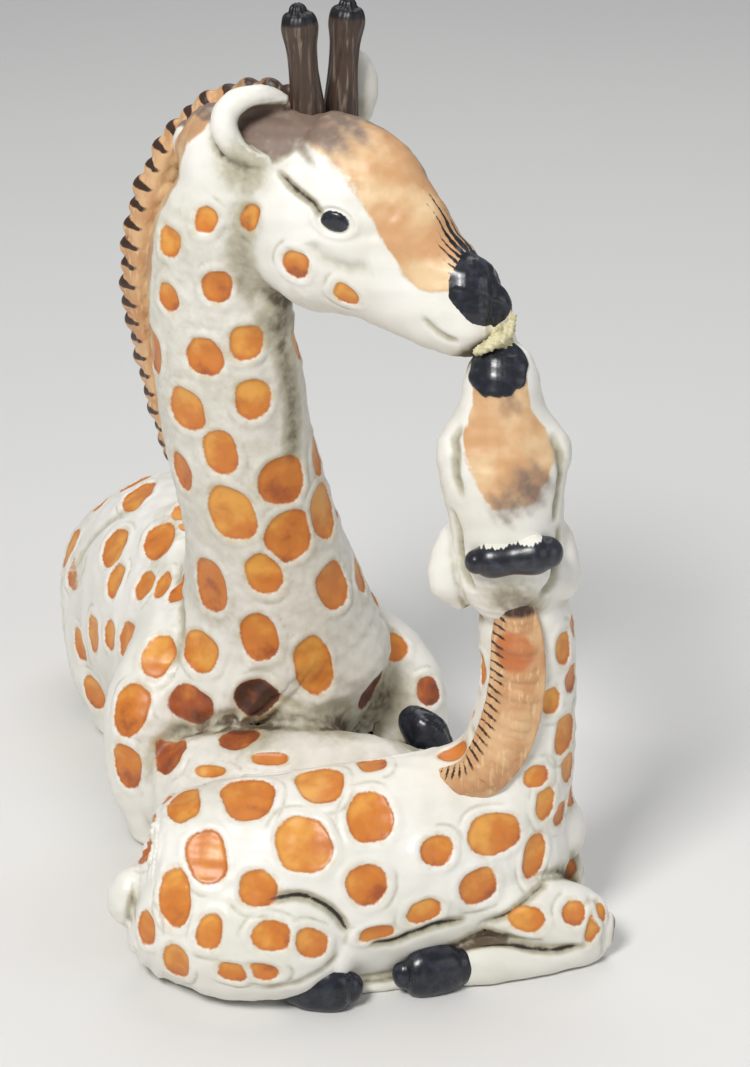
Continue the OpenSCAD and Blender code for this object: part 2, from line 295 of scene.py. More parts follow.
class Clay:
    """A block of space that forms are merged into and that a skin is taken from."""

    def __init__(self, low: Array, high: Array, voxel: float) -> None:
        """Makes an empty block.

        Args:
            low: Lowest corner, in millimetres.
            high: Highest corner.
            voxel: Side of a voxel.
        """
        self.voxel = voxel
        self.low = np.asarray(low, float)
        self.count = np.ceil((np.asarray(high) - self.low) / voxel).astype(int) + 1
        self.gap = np.full(self.count, REACH, np.float32)

    def _window(self, form: "Loft | Cup") -> tuple[tuple[slice, ...], Array]:
        """The part of the block near a form, and its points.

        Args:
            form: The form.

        Returns:
            The slices of the block, and the points one a row.
        """
        low, high = form.bounds()
        start = np.clip(np.floor((low - REACH - self.low) / self.voxel).astype(int), 0, self.count - 1)
        stop = np.clip(np.ceil((high + REACH - self.low) / self.voxel).astype(int) + 1, 1, self.count)
        axes = [self.low[k] + self.voxel * np.arange(start[k], stop[k]) for k in range(3)]
        points = np.stack(np.meshgrid(*axes, indexing="ij"), axis=-1).reshape(-1, 3)
        return tuple(slice(a, b) for a, b in zip(start, stop)), points

    def add(self, form: "Loft | Cup", soft: float) -> None:
        """Merges a form into the clay, rounding the join over `soft`.

        Args:
            form: The form.
            soft: Width that the join is rounded over.
        """
        window, points = self._window(form)
        here = self.gap[window]
        grid = points.reshape(*here.shape, 3)
        rough = form.distance(grid[2::4, 2::4, 2::4].reshape(-1, 3)) if min(here.shape) > 2 else np.zeros(1)
        rough = rough.reshape([len(range(2, n, 4)) for n in here.shape])
        for axis in range(3):
            rough = np.repeat(rough, 4, axis=axis)
            lack = here.shape[axis] - rough.shape[axis]
            pad = [(0, max(lack, 0)) if k == axis else (0, 0) for k in range(3)]
            rough = np.pad(rough, pad, mode="edge").take(range(here.shape[axis]), axis=axis)
        other = np.clip(rough, -REACH, REACH)
        close = np.abs(rough) < REACH + 4 * self.voxel
        other[close] = form.distance(grid[close])
        self.gap[window] = np.clip(merge(here, other, soft), -REACH, REACH)

    def trim_floor(self, soft: float = 1.6) -> None:
        """Cuts the clay off level at z = 0, with a wiped edge."""
        z = (self.low[2] + self.voxel * np.arange(self.count[2])).astype(np.float32)
        self.gap = carve(self.gap, np.broadcast_to(z, self.gap.shape), soft).astype(np.float32)

    def drill(self, x: float, y: float, radius: float, depth: float) -> None:
        """Sinks a round vent hole into the base.

        Args:
            x: Its place along X.
            y: Its place along Y.
            radius: Its radius.
            depth: Its depth.
        """
        axes = [self.low[k] + self.voxel * np.arange(self.count[k]) for k in range(3)]
        gx, gy, gz = np.meshgrid(*axes, indexing="ij", sparse=True)
        hole = np.maximum(np.hypot(gx - x, gy - y) - radius, gz - depth)
        self.gap = carve(self.gap, hole, 1.5).astype(np.float32)

    def sample(self, points: Array) -> Array:
        """Distances at points, read between the voxels.

        Args:
            points: Points, one a row.

        Returns:
            A distance for each.
        """
        where = np.clip((points - self.low) / self.voxel, 0, self.count - 1.001)
        base = where.astype(int)
        part = where - base
        out = np.zeros(len(points))
        for corner in range(8):
            pick = np.array([corner & 1, corner >> 1 & 1, corner >> 2 & 1])
            weight = np.prod(np.where(pick, part, 1 - part), axis=1)
            i, j, k = (base + pick).T
            out += weight * self.gap[i, j, k]
        return out

    def slope(self, points: Array) -> Array:
        """Outward directions at points."""
        step = self.voxel * np.eye(3)
        return unit(np.stack([self.sample(points + s) - self.sample(points - s) for s in step], axis=1))

    def snap(self, points: Array) -> Array:
        """Points moved on to the surface."""
        points = np.array(points, float)
        for _ in range(4):
            points -= self.sample(points)[:, None] * self.slope(points)
        return points

    def skin(self) -> tuple[Array, Array]:
        """The surface as points and four-sided faces, rounded once."""
        grid = openvdb.FloatGrid()
        grid.copyFromArray(self.gap)
        points, quads = grid.convertToQuads(isovalue=0.0)
        points = points.astype(float) * self.voxel + self.low
        points, quads = divide(points, quads.astype(np.int64), rounded=True)
        return points - self.sample(points)[:, None] * self.slope(points), quads


def divide(points: Array, quads: Array, rounded: bool) -> tuple[Array, Array]:
    """Cuts each four-sided face in four.

    Args:
        points: Points, one a row; more columns are shared out like a place.
        quads: Rows of four point numbers.
        rounded: Whether the surface is smoothed as well, with three columns only.

    Returns:
        The new points and faces; the old points come first.
    """
    n = len(points)
    ends = np.sort(np.stack([quads, np.roll(quads, -1, axis=1)], axis=-1).reshape(-1, 2), axis=1)
    keys, number, uses = np.unique(ends[:, 0] * n + ends[:, 1], return_inverse=True, return_counts=True)
    start, stop = keys // n, keys % n
    middle = (points[start] + points[stop]) / 2
    centre = points[quads].mean(axis=1)
    if rounded:
        face = np.repeat(np.arange(len(quads)), 4)
        round_edge = total(number, centre[face], len(keys)) / uses[:, None]
        edge_point = np.where((uses > 1)[:, None], (middle + round_edge) / 2, middle)
        count = np.bincount(quads.ravel(), minlength=n)[:, None]
        from_faces = total(quads.ravel(), centre[face], n) / np.maximum(count, 1)
        both = np.concatenate([start, stop])
        degree = np.bincount(both, minlength=n)[:, None]
        from_edges = total(both, np.concatenate([middle, middle]), n) / np.maximum(degree, 1)
        moved = (from_faces + 2 * from_edges + (count - 3) * points) / np.maximum(count, 1)
        rim = np.zeros(n, bool)
        rim[start[uses == 1]] = rim[stop[uses == 1]] = True
        points = np.where(rim[:, None] | (count < 3), points, moved)
    else:
        edge_point = middle
    number = number.reshape(-1, 4) + n
    hub = np.arange(len(quads)) + n + len(keys)
    faces = np.stack([np.stack([quads[:, k], number[:, k], hub, number[:, k - 1]], axis=1)
                      for k in range(4)], axis=1).reshape(-1, 4)
    return np.concatenate([points, edge_point, centre]), faces


def total(number: Array, rows: Array, count: int) -> Array:
    """Sums of the rows that share a number."""
    return np.stack([np.bincount(number, rows[:, k], count) for k in range(3)], axis=1)


def point_normals(points: Array, quads: Array) -> Array:
    """Smooth outward directions at the points of a four-sided mesh."""
    a, b, c, d = (points[quads[:, k]] for k in range(4))
    face = np.repeat(np.cross(c - a, d - b), 4, axis=0)
    return unit(total(quads.ravel(), face, len(points)))


# ---- Features on the skin ----

@dataclass(frozen=True)
class Patch:
    """A painted, slightly sunken giraffe patch.

    Attributes:
        along: Share of the way along its form.
        angle: Degrees round the form, from its side towards its top.
        wide: Full width round the form, in millimetres.
        long: Full length along the form.
        tilt: Degrees it is turned on the surface.
        dark: How brown it is painted, 0 to 1.
        sunk: How strongly it is pressed in, 0 to 1.
    """

    along: float
    angle: float
    wide: float
    long: float
    tilt: float = 0.0
    dark: float = 0.25
    sunk: float = 0.5


@dataclass(frozen=True)
class Groove:
    """A modelled line: a crease where it sinks, a ridge where it stands out.

    Attributes:
        path: Points close to the surface that the line runs through.
        width: Width over which it fades.
        sink: Depth in millimetres; a ridge has a negative depth.
        wash: How much painted shade and dark antiquing lies in it, 0 to 1.
        line: How strongly its bottom is lined in black, 0 to 1.
    """

    path: list[Point]
    width: float
    sink: float
    wash: float = 0.5
    line: float = 0.0


@dataclass(frozen=True)
class Swell:
    """A soft bump, or a hollow where the height is negative.

    Attributes:
        at: Its middle, close to the surface.
        radius: How far it reaches.
        height: Height in millimetres.
        wash: How much painted shade and dark antiquing lies on it, 0 to 1.
    """

    at: Point
    radius: float
    height: float
    wash: float = 0.0


@dataclass(frozen=True)
class Oval:
    """An oval painted black, such as an eye.

    Attributes:
        at: Its middle, close to the surface.
        heading: Direction of its long axis.
        long: Full length.
        wide: Full width.
    """

    at: Point
    heading: Point
    long: float
    wide: float


class Coat:
    """Everything pressed into or painted on the skin of one animal."""

    # Power that makes a patch a rounded square rather than an ellipse
    SQUARENESS = 2.3
    # Heights over the skin at which the depth of a recess is felt, and their weights
    FEELERS = ((1.5, 0.3), (3.5, 0.4), (7.0, 0.5))
    SHADE_GAIN = 1.9

    def __init__(self, clay: Clay, both: Clay, rng: np.random.Generator) -> None:
        """Makes a plain coat.

        Args:
            clay: The animal's own clay.
            both: Both animals' clay, for the painted shade where one lies in the lee of the other.
            rng: Source of the small differences between patches.
        """
        self.clay, self.both, self.rng = clay, both, rng
        self.patches: list[tuple[Array, Array, Array, Patch, Array]] = []
        self.grooves: list[tuple[Array, Groove]] = []
        self.swells: list[tuple[Array, Array, Swell]] = []
        self.ovals: list[tuple[Array, Array, Array, Oval]] = []
        self.painters: list[Callable[[Array, Array, Paint], Array]] = []

    def press(self, form: Loft, patches: list[Patch]) -> None:
        """Places patches on a form.

        Args:
            form: The form.
            patches: The patches.
        """
        for patch in patches:
            point, along, around = form.place(patch.along, patch.angle)
            point = self.clay.snap(point[None])[0]
            out = self.clay.slope(point[None])[0]
            turn = math.radians(patch.tilt)
            first = unit(around - (around @ out) * out)
            second = np.cross(out, first)
            second *= math.copysign(1.0, second @ along)
            across = first * math.cos(turn) + second * math.sin(turn)
            length = second * math.cos(turn) - first * math.sin(turn)
            shape = np.concatenate([self.rng.uniform(0, 2 * math.pi, 3), self.rng.uniform(0.4, 1.0, 3),
                                    [self.rng.integers(4, 7), self.rng.uniform(-1, 1)]])
            self.patches.append((point, across, length, patch, shape))

    def score(self, grooves: list[Groove]) -> None:
        """Adds creases and ridges, laid on the surface."""
        for groove in grooves:
            self.grooves.append((self.clay.snap(spline(groove.path, 6)), groove))

    def push(self, swells: list[Swell]) -> None:
        """Adds bumps and hollows."""
        for swell in swells:
            point = self.clay.snap(np.array([swell.at]))
            self.swells.append((point[0], self.clay.slope(point)[0], swell))

    def dot(self, ovals: list[Oval]) -> None:
        """Adds black ovals."""
        for oval in ovals:
            point = self.clay.snap(np.array([oval.at]))
            out = self.clay.slope(point)[0]
            across = unit(np.array(oval.heading) - (np.array(oval.heading) @ out) * out)
            self.ovals.append((point[0], across, np.cross(out, across), oval))

    def _spots(self, points: Array, normals: Array) -> tuple[Array, Array, Array, Array]:
        """Finds the nearest patch.

        Args:
            points: Points of the skin.
            normals: Outward directions there.

        Returns:
            Distance to its edge, its tone, how far it sinks, and the tool marks round it.
        """
        first = np.full(len(points), FAR)
        second = np.full(len(points), FAR)
        tone = np.full(len(points), 0.3)
        sunk = np.full(len(points), 0.5)
        ring = np.zeros(len(points))
        for at, across, length, patch, shape in self.patches:
            size = max(patch.wide, patch.long)
            near = np.flatnonzero(dots(points - at, points - at) < (size + 3.0) ** 2)
            out = np.cross(across, length)
            out = out * math.copysign(1.0, out @ self.clay.slope(at[None])[0])
            near = near[normals[near] @ out > 0.1]
            away = points[near] - at
            x, y = away @ across, away @ length
            turn = np.arctan2(y / patch.long, x / patch.wide)
            rim = 1 + 0.02 * np.cos(shape[6] * turn + shape[0])
            rim += 0.05 * shape[3] * np.sin(2 * turn + shape[1]) + 0.04 * shape[4] * np.sin(3 * turn + shape[2])
            power = self.SQUARENESS
            level = (np.abs(x / patch.wide) ** power + np.abs(y / patch.long) ** power) ** (1 / power)
            gap = (level * 2 / rim - 1) * 0.25 * (patch.wide + patch.long)
            tooled = ramp(np.sin(turn + shape[0]) + 0.5 * np.sin(3 * turn + shape[1]), 0.2, 0.9)
            ring[near] = np.maximum(ring[near], tooled * np.exp(-((gap - 2.6) / 0.6) ** 2))
            closer = gap < first[near]
            second[near] = np.where(closer, first[near], np.minimum(second[near], gap))
            first[near] = np.where(closer, gap, first[near])
            # Painted shade: each patch darkens towards the lower right.
            toward_painted_shade = away @ LOW_RIGHT / size
            tone[near] = np.where(closer, patch.dark + 0.1 * shape[7] + 0.35 * toward_painted_shade, tone[near])
            sunk[near] = np.where(closer, patch.sunk, sunk[near])
        return np.maximum(first, 0.7 - 0.5 * (second - first)), tone, sunk, ring

    def _shade(self, points: Array, normals: Array) -> Array:
        """How deep each point lies in a recess, 0 to 1, for the painted shade.

        Args:
            points: Points of the skin.
            normals: Outward directions there.

        Returns:
            The depths.
        """
        depth = np.zeros(len(points))
        for reach, share in self.FEELERS:
            gap = self.both.sample(points + normals * reach)
            depth += share * np.clip(1.0 - gap / reach - 0.1, 0.0, 1.0)
        return np.clip(self.SHADE_GAIN * depth, 0.0, 1.0)

    def dress(self, points: Array, normals: Array) -> tuple[Array, Paint]:
        """Works out the relief and the paint of some of the skin.

        Args:
            points: Points of the skin before any relief.
            normals: Outward directions there.

        Returns:
            The height of the relief, and the paint channels by name.
        """
        spot, tone, sunk, ring = self._spots(points, normals)
        # Painted shade: recesses, and places in the lee of the other animal, are darkened by how deep they lie; the
        # tool rings round the patches take antiquing.
        wash = np.maximum(self._shade(points, normals), 0.3 * ring)
        height = -(0.15 + 0.5 * sunk) * (1 - ramp(spot, -0.7, 0.5)) - 0.6 * sunk * (1 - ramp(spot, -3.5, 0.0))
        height += (0.12 + 0.35 * sunk) * np.exp(-((spot - 1.3) / 1.0) ** 2) - 0.2 * ring
        height += 0.16 * np.sin(points @ [0.55, 0.3, 0.62]) * np.sin(points @ [-0.35, 0.6, 0.5] + 1)
        paint = {"spot": spot, "tone": tone, "wash": wash, "tan": np.full(len(points), FAR),
                 "dusk": np.zeros(len(points)), "ink": np.full(len(points), FAR), "line": np.zeros(len(points))}
        self._crease(points, height, paint)
        for at, out, swell in self.swells:
            away = points - at
            near = np.exp(-dots(away, away) / swell.radius ** 2) * (normals @ out > 0.0)
            height += swell.height * near
            paint["wash"] = np.maximum(paint["wash"], swell.wash * near)
        self._raise_ovals(points, height, paint)
        for painter in self.painters:
            height = height + painter(points, normals, paint)
        return height, paint

    def _crease(self, points: Array, height: Array, paint: Paint) -> None:
        """Sinks the grooves into the relief and lays wash and line in them.

        Args:
            points: Points of the skin.
            Sinks the grooves into the relief and lays painted shade, antiquing and line in them.
            paint: Channels, changed in place.
        """
        for path, groove in self.grooves:
            reach = 3.0 * groove.width
            near = in_box(points, path.min(0), path.max(0), reach)
            index, share, gap = nearest(points[near], path)
            place = (index + share) / (len(path) - 1)
            taper = ramp(place, -0.02, 0.2) * (1 - ramp(place, 0.8, 1.02))
            mark = taper * np.exp(-(gap / groove.width) ** 2)
            height[near] -= groove.sink * mark
            core = groove.line * taper * np.exp(-(gap / (0.4 * groove.width)) ** 2)
            paint["line"][near] = np.maximum(paint["line"][near], core)
            paint["wash"][near] = np.maximum(paint["wash"][near], 0.7 * groove.wash * mark)

    def _raise_ovals(self, points: Array, height: Array, paint: Paint) -> None:
        """Domes the black ovals and rims them with a lid.

        Args:
            points: Points of the skin.
            height: Relief, changed in place.
            paint: Channels, changed in place.
        """
        for at, across, above, oval in self.ovals:
            away = points - at
            near = np.flatnonzero(dots(away, away) < (2 * oval.long) ** 2)
            x, y = away[near] @ across / oval.long * 2, away[near] @ above / oval.wide * 2
            level = np.hypot(x, y)
            gap = (level - 1) * 0.25 * (oval.long + oval.wide)
            paint["ink"][near] = np.minimum(paint["ink"][near], gap)
            height[near] += 0.7 * np.sqrt(np.clip(1 - level ** 2, 0, 1))
            height[near] += 0.45 * np.exp(-((gap - 1.7) / 0.8) ** 2) - 0.35 * np.exp(-((gap - 0.5) / 0.4) ** 2)


# ---- Pieces ----

def new_object(name: str, data: bpy.types.ID) -> bpy.types.Object:
    """An object at the origin, linked to the scene."""
    made = bpy.data.objects.new(name, data)
    bpy.context.scene.collection.objects.link(made)
    return made


def make_piece(name: str, points: Array, faces: list[Array], normals: Array | None = None,
               paint: Paint | None = None) -> bpy.types.Object:
    """Makes a mesh object from arrays.

    Args:
        name: The piece's name.
        points: Points in millimetres.
        faces: Arrays of point numbers, one array for each number of corners.
        normals: Outward directions at the points, or none to leave them smooth.
        paint: Numbers at the points, by the name of their attribute.

    Returns:
        The object, linked to the scene, at the origin.
    """
    mesh = bpy.data.meshes.new(name)
    sizes = np.concatenate([np.full(len(f), f.shape[1]) for f in faces if len(f)])
    loops = np.concatenate([f.ravel() for f in faces if len(f)])
    mesh.vertices.add(len(points))
    points = np.maximum(points, [-1e3, -1e3, 0.0])
    mesh.vertices.foreach_set("co", (points * MM).astype(np.float32).ravel())
    mesh.loops.add(len(loops))
    mesh.loops.foreach_set("vertex_index", loops.astype(np.int32))
    mesh.polygons.add(len(sizes))
    mesh.polygons.foreach_set("loop_start", np.concatenate([[0], np.cumsum(sizes)[:-1]]).astype(np.int32))
    mesh.polygons.foreach_set("loop_total", sizes.astype(np.int32))
    mesh.polygons.foreach_set("use_smooth", np.ones(len(sizes), bool))
    mesh.update(calc_edges=True)
    mesh.validate()
    for key, values in (paint or {}).items():
        layer = mesh.attributes.new(key, "FLOAT", "POINT")
        layer.data.foreach_set("value", values.astype(np.float32))
    if normals is not None:
        mesh.normals_split_custom_set_from_vertices(normals.astype(np.float32))
    return new_object(name, mesh)


def close_rims(points: Array, normals: Array, quads: Array) -> tuple[Array, Array]:
    """Lids for the open rims of a cut skin.

    Args:
        points: The piece's points.
        normals: Outward directions there.
        quads: Its faces.

    Returns:
        One more point for each rim, and the three-sided faces of the lids.
    """
    ends = np.stack([quads, np.roll(quads, -1, axis=1)], axis=-1).reshape(-1, 2)
    n = len(points)
    key = np.minimum(ends[:, 0], ends[:, 1]) * n + np.maximum(ends[:, 0], ends[:, 1])
    _, number, uses = np.unique(key, return_inverse=True, return_counts=True)
    rim = ends[uses[number] == 1]
    follow: dict[int, list[int]] = {}
    for a, b in rim:
        follow.setdefault(int(a), []).append(int(b))
    hubs, lids = [], []
    while follow:
        start = next(iter(follow))
        loop, here = [start], follow[start].pop()
        if not follow[start]:
            del follow[start]
        while here != start and here in follow:
            loop.append(here)
            onward = follow[here].pop()
            if not follow[here]:
                del follow[here]
            here = onward
        hubs.append((points[loop] - 6.0 * normals[loop]).mean(axis=0))
        hub = n + len(hubs) - 1
        lids += [(b, a, hub) for a, b in zip(loop, loop[1:] + loop[:1])]
    return np.array(hubs).reshape(-1, 3), np.array(lids, np.int64).reshape(-1, 3)


class Animal:
    """Shared work of the two animals: one skin, cut into its named parts."""

    def __init__(self, parts: dict[str, tuple], voxel: float) -> None:
        """Takes the animal's forms.

        Args:
            parts: Forms of each part and the softness of its join, by the part's name.
            voxel: Side of a voxel of its clay.
        """
        self.parts = {name: forms for name, (forms, _) in parts.items()}
        corners = [form.bounds() for forms in self.parts.values() for form in forms]
        low = np.min([c[0] for c in corners], axis=0) - 4.0
        high = np.max([c[1] for c in corners], axis=0) + 4.0
        low[2] = -3.0
        self.clay = Clay(low, high, voxel)
        for forms, soft in parts.values():
            for form in forms:
                self.clay.add(form, soft)

    def owners(self, centres: Array) -> Array:
        """Gives each face to the part whose form is nearest.

        Args:
            centres: The faces' centres.

        Returns:
            The part's number for each.
        """
        gaps = []
        for forms in self.parts.values():
            gap = np.full(len(centres), 99.0)
            for form in forms:
                low, high = form.bounds()
                near = in_box(centres, low, high, REACH)
                if len(near):
                    gap[near] = np.minimum(gap[near], form.distance(centres[near]))
            gaps.append(gap)
        return np.argmin(gaps, axis=0)

    def cut(self, coat: Coat, fine: set[str]) -> dict[str, bpy.types.Object]:
        """Cuts the skin into its parts and gives each its relief and paint.

        Args:
            coat: What is pressed into and painted on the skin.
            fine: Parts whose faces are cut in four once more.

        Returns:
            The pieces by name.
        """
        points, quads = self.clay.skin()
        normals = point_normals(points, quads)
        owner = self.owners(points[quads].mean(axis=1))
        owner = settle(owner, quads, len(points), len(self.parts))
        pieces = {}
        for number, name in enumerate(self.parts):
            mine = owner == number
            touched = np.zeros(len(points), bool)
            touched[quads[mine]] = True
            wide = touched[quads].any(axis=1)
            use = quads[wide]
            inside = mine[wide]
            kept, flat = np.unique(use, return_inverse=True)
            local, faces = points[kept], flat.reshape(-1, 4)
            lean = normals[kept]
            if name in fine:
                both, faces = divide(np.concatenate([local, lean], axis=1), faces, rounded=False)
                local, lean = both[:, :3], unit(both[:, 3:])
                inside = np.repeat(inside, 4)
            height, paint = coat.dress(local, lean)
            local = local + lean * height[:, None]
            lean = point_normals(local, faces)
            faces = faces[inside]
            kept, flat = np.unique(faces, return_inverse=True)
            local, lean, faces = local[kept], lean[kept], flat.reshape(-1, 4)
            paint = {key: values[kept] for key, values in paint.items()}
            hubs, lids = close_rims(local, lean, faces)
            local = np.concatenate([local, hubs])
            lean = np.concatenate([lean, np.tile([0.0, 0.0, -1.0], (len(hubs), 1))])
            paint = {key: np.append(values, np.full(len(hubs), FAR if key in EDGES else 0.0))
                     for key, values in paint.items()}
            pieces[name] = make_piece(name + "_skin", local, [faces, lids], lean, paint)
            log.info("%s: %d faces", name, len(faces) * 2 + len(lids))
        return pieces


def settle(owner: Array, quads: Array, count: int, parts: int) -> Array:
    """Evens out the borders between parts.

    Args:
        owner: Part number of each face.
        quads: The faces.
        count: Number of points.
        parts: Number of parts.

    Returns:
        Part numbers with straggling faces given to their neighbours.
    """
    for _ in range(6):
        votes = np.zeros((count, parts))
        np.add.at(votes, (quads.ravel(), np.repeat(owner, 4)), 1.0)
        owner = votes[quads].sum(axis=1).argmax(axis=1)
    return owner


# ---- Coats ----

Spread = list[tuple[Loft, list[Patch]]]


def patches(*numbers: tuple[float, ...]) -> list[Patch]:
    """Patches from their numbers, in the order of a patch's fields."""
    return [Patch(*row) for row in numbers]


def rows(alongs: list[float], angles: list[float], wide: float, long: float,
         rng: np.random.Generator) -> list[Patch]:
    """Patches in staggered rows, for the sides with no special layout.

    Args:
        alongs: Shares of the way along the form, one for each row.
        angles: Degrees round the form of each patch in a row.
        wide: Usual width of a patch.
        long: Usual length of a patch.
        rng: Source of the small differences.

    Returns:
        The patches.
    """
    pitch = angles[1] - angles[0]
    made = []
    for number, along in enumerate(alongs):
        for angle in angles:
            stagger = 0.5 * pitch * (number % 2)
            made.append(Patch(along + rng.uniform(-0.012, 0.012),
                              angle + stagger + rng.uniform(-0.12, 0.12) * pitch,
                              wide * rng.uniform(0.8, 1.12), long * rng.uniform(0.8, 1.12),
                              rng.uniform(-25, 25), 0.25, rng.uniform(0.3, 0.7)))
    return made


class MotherFace:
    """Paint of the mother's face: the tan blaze, the dusky crown and the black nose."""

    BLAZE = ([0.2, 0.28, 0.38, 0.43, 0.48, 0.52, 0.56, 0.6, 0.65, 0.7, 0.74, 0.8],
             [85, 70, 52, 47, 41, 37, 32, 23, 14, 12, 20, 34])
    NOSE = ([-90, -40, -22, -7, 8, 20, 36, 60, 90], [1.2, 1.06, 0.98, 0.88, 0.83, 0.775, 0.755, 0.745, 0.74])
    STREAKS = [(44, 0.71, 3.0), (52, 0.69, 2.5), (60, 0.66, 3.5), (68, 0.64, 3.0), (77, 0.6, 4.0),
               (88, 0.58, 5.0), (99, 0.6, 4.0), (110, 0.64, 3.0), (122, 0.68, 3.0)]

    def __init__(self, head: Loft, rim: Loft, strip: Loft) -> None:
        """Keeps the forms of the head, the ear's rim and the strip along the mane."""
        self.head, self.rim, self.strip = head, rim, strip

    def _hollow(self, points: Array, paint: Paint) -> None:
        """Darkens the hollow of the near ear with painted shade, and paints the strip along the mane.

        Args:
            points: Points of the skin.
            paint: Channels, changed in place.
        """
        # Painted shade in the ear's hollow: dusky colour and darkening inside the rim.
        near = np.flatnonzero(lengths(points - [-24, 27, 208]) < 14)
        if len(near):
            inner = 1 - ramp(lengths(points[near] - [-24, 27, 208]), 7.5, 11.5)
            inner *= ramp(self.rim.distance(points[near]), 0.1, 0.9)
            paint["dusk"][near] = np.maximum(paint["dusk"][near], inner)
            paint["wash"][near] = np.maximum(paint["wash"][near], 0.8 * inner)
        near = in_box(points, *self.strip.bounds(), 2.0)
        if len(near):
            gap = self.strip.distance(points[near])
            paint["tan"][near] = np.minimum(paint["tan"][near], gap)
            paint["dusk"][near] = np.maximum(paint["dusk"][near], 0.45 * (1 - ramp(gap, -0.5, 0.5)))

    def __call__(self, points: Array, normals: Array, paint: Paint) -> Array:
        """Paints the points on the head.

        Args:
            points: Points of the skin.
            normals: Outward directions there; not used.
            paint: Channels, changed in place.

        Returns:
            Extra relief height.
        """
        near = in_box(points, *self.head.bounds(), 2.0)
        extra = np.zeros(len(points))
        along, angle, gap = self.head.local(points[near])
        on_head = gap < 3.0
        folded = np.where(np.abs(angle) > 90, np.sign(angle) * 180 - angle, angle)
        wave = 1.5 * np.sin(points[near] @ [0.9, 0.3, 0.7]) + np.sin(points[near] @ [0.5, -1.1, 1.3])
        edge = np.interp(along, *self.BLAZE)
        tan = np.maximum((edge - folded + 0.7 * wave) * 0.25, (0.24 - along) * 90)
        tan = np.where(on_head, tan, FAR)
        nose = (np.interp(folded, *self.NOSE) - along) * 95 + 0.25 * wave
        for at, tip, width in self.STREAKS:
            body = (np.abs(angle - at) - width * np.clip((along - tip) / 0.12, 0, 1)) * 0.22
            nose = np.minimum(nose, np.maximum(body, (tip - along) * 60))
        paint["tan"][near] = tan
        paint["ink"][near] = np.minimum(paint["ink"][near], np.where(on_head, nose, FAR))
        crown = (1 - ramp(along + 0.01 * wave, 0.4, 0.52)) * ramp(folded + 3 * wave, 34, 60)
        far = ramp(angle, 96, 118) * ramp(along, 0.4, 0.5) * (1 - ramp(along, 0.62, 0.7))
        paint["dusk"][near] = np.where(on_head, np.maximum(crown, 0.8 * far), 0.0)
        self._hollow(points, paint)
        paint["wash"][near] = np.maximum(paint["wash"][near], np.where(on_head, 0.5 * crown, 0.0))
        extra[near] = np.where(on_head & (tan < 2), 0.25 * (1 - ramp(tan, -0.6, 0.6)), 0.0)
        return extra


class CalfFace:
    """Paint of the calf's face: the tan face, brown patches and the black nose."""

    MIDDLE = ([0.42, 0.48, 0.55, 0.62, 0.68, 0.74], [84, 82, 83, 87, 93, 96])
    HALF = ([0.36, 0.42, 0.47, 0.55, 0.62, 0.68, 0.74, 0.85], [14, 22, 33, 43, 50, 44, 44, 50])
    NOSE_AT = (28.5, -4.0, 160.5)
    NOSE_RADIUS = 7.4

    def __init__(self, head: Loft) -> None:
        """Keeps the head's form."""
        self.head = head

    def __call__(self, points: Array, normals: Array, paint: Paint) -> Array:
        """Paints the points on the head.

        Args:
            points: Points of the skin.
            normals: Outward directions there; not used.
            paint: Channels, changed in place.

        Returns:
            Extra relief height.
        """
        near = np.flatnonzero((points[:, 2] > 95) & (points[:, 0] > 8))
        extra = np.zeros(len(points))
        if not len(near):
            return extra
        spots = points[near]
        along, angle, _ = self.head.local(spots)
        wave = 1.2 * np.sin(spots @ [1.1, 0.3, 0.8]) + np.sin(spots @ [1.9, -0.6, 1.2])
        side = np.abs((angle - np.interp(along, *self.MIDDLE) + 180) % 360 - 180)
        tan = np.maximum((side - np.interp(along, *self.HALF) + 0.8 * wave) * 0.23, (0.41 - along) * 80)
        paint["tan"][near] = tan
        nose = lengths(spots - self.NOSE_AT) - self.NOSE_RADIUS + 0.15 * wave
        paint["ink"][near] = np.minimum(paint["ink"][near], nose)
        dusk = np.zeros(len(near))
        for at, radius, depth in (((31.5, -7, 152), 5.5, 0.6), ((36, -12, 133), 10.0, 0.85),
                                  ((31, -13, 129), 8.0, 0.75), ((38, -8, 141), 6.0, 0.35),
                                  ((33, -12, 104), 9.0, 0.6)):
            away = lengths(spots - at) + 0.4 * wave
            dusk = np.maximum(dusk, depth * (1 - ramp(away, 0.15 * radius, 1.1 * radius)))
        paint["dusk"][near] = dusk
        extra[near] = 0.5 * (1 - ramp(nose, -0.5, 0.5))
        return extra


# ---- The two animals ----

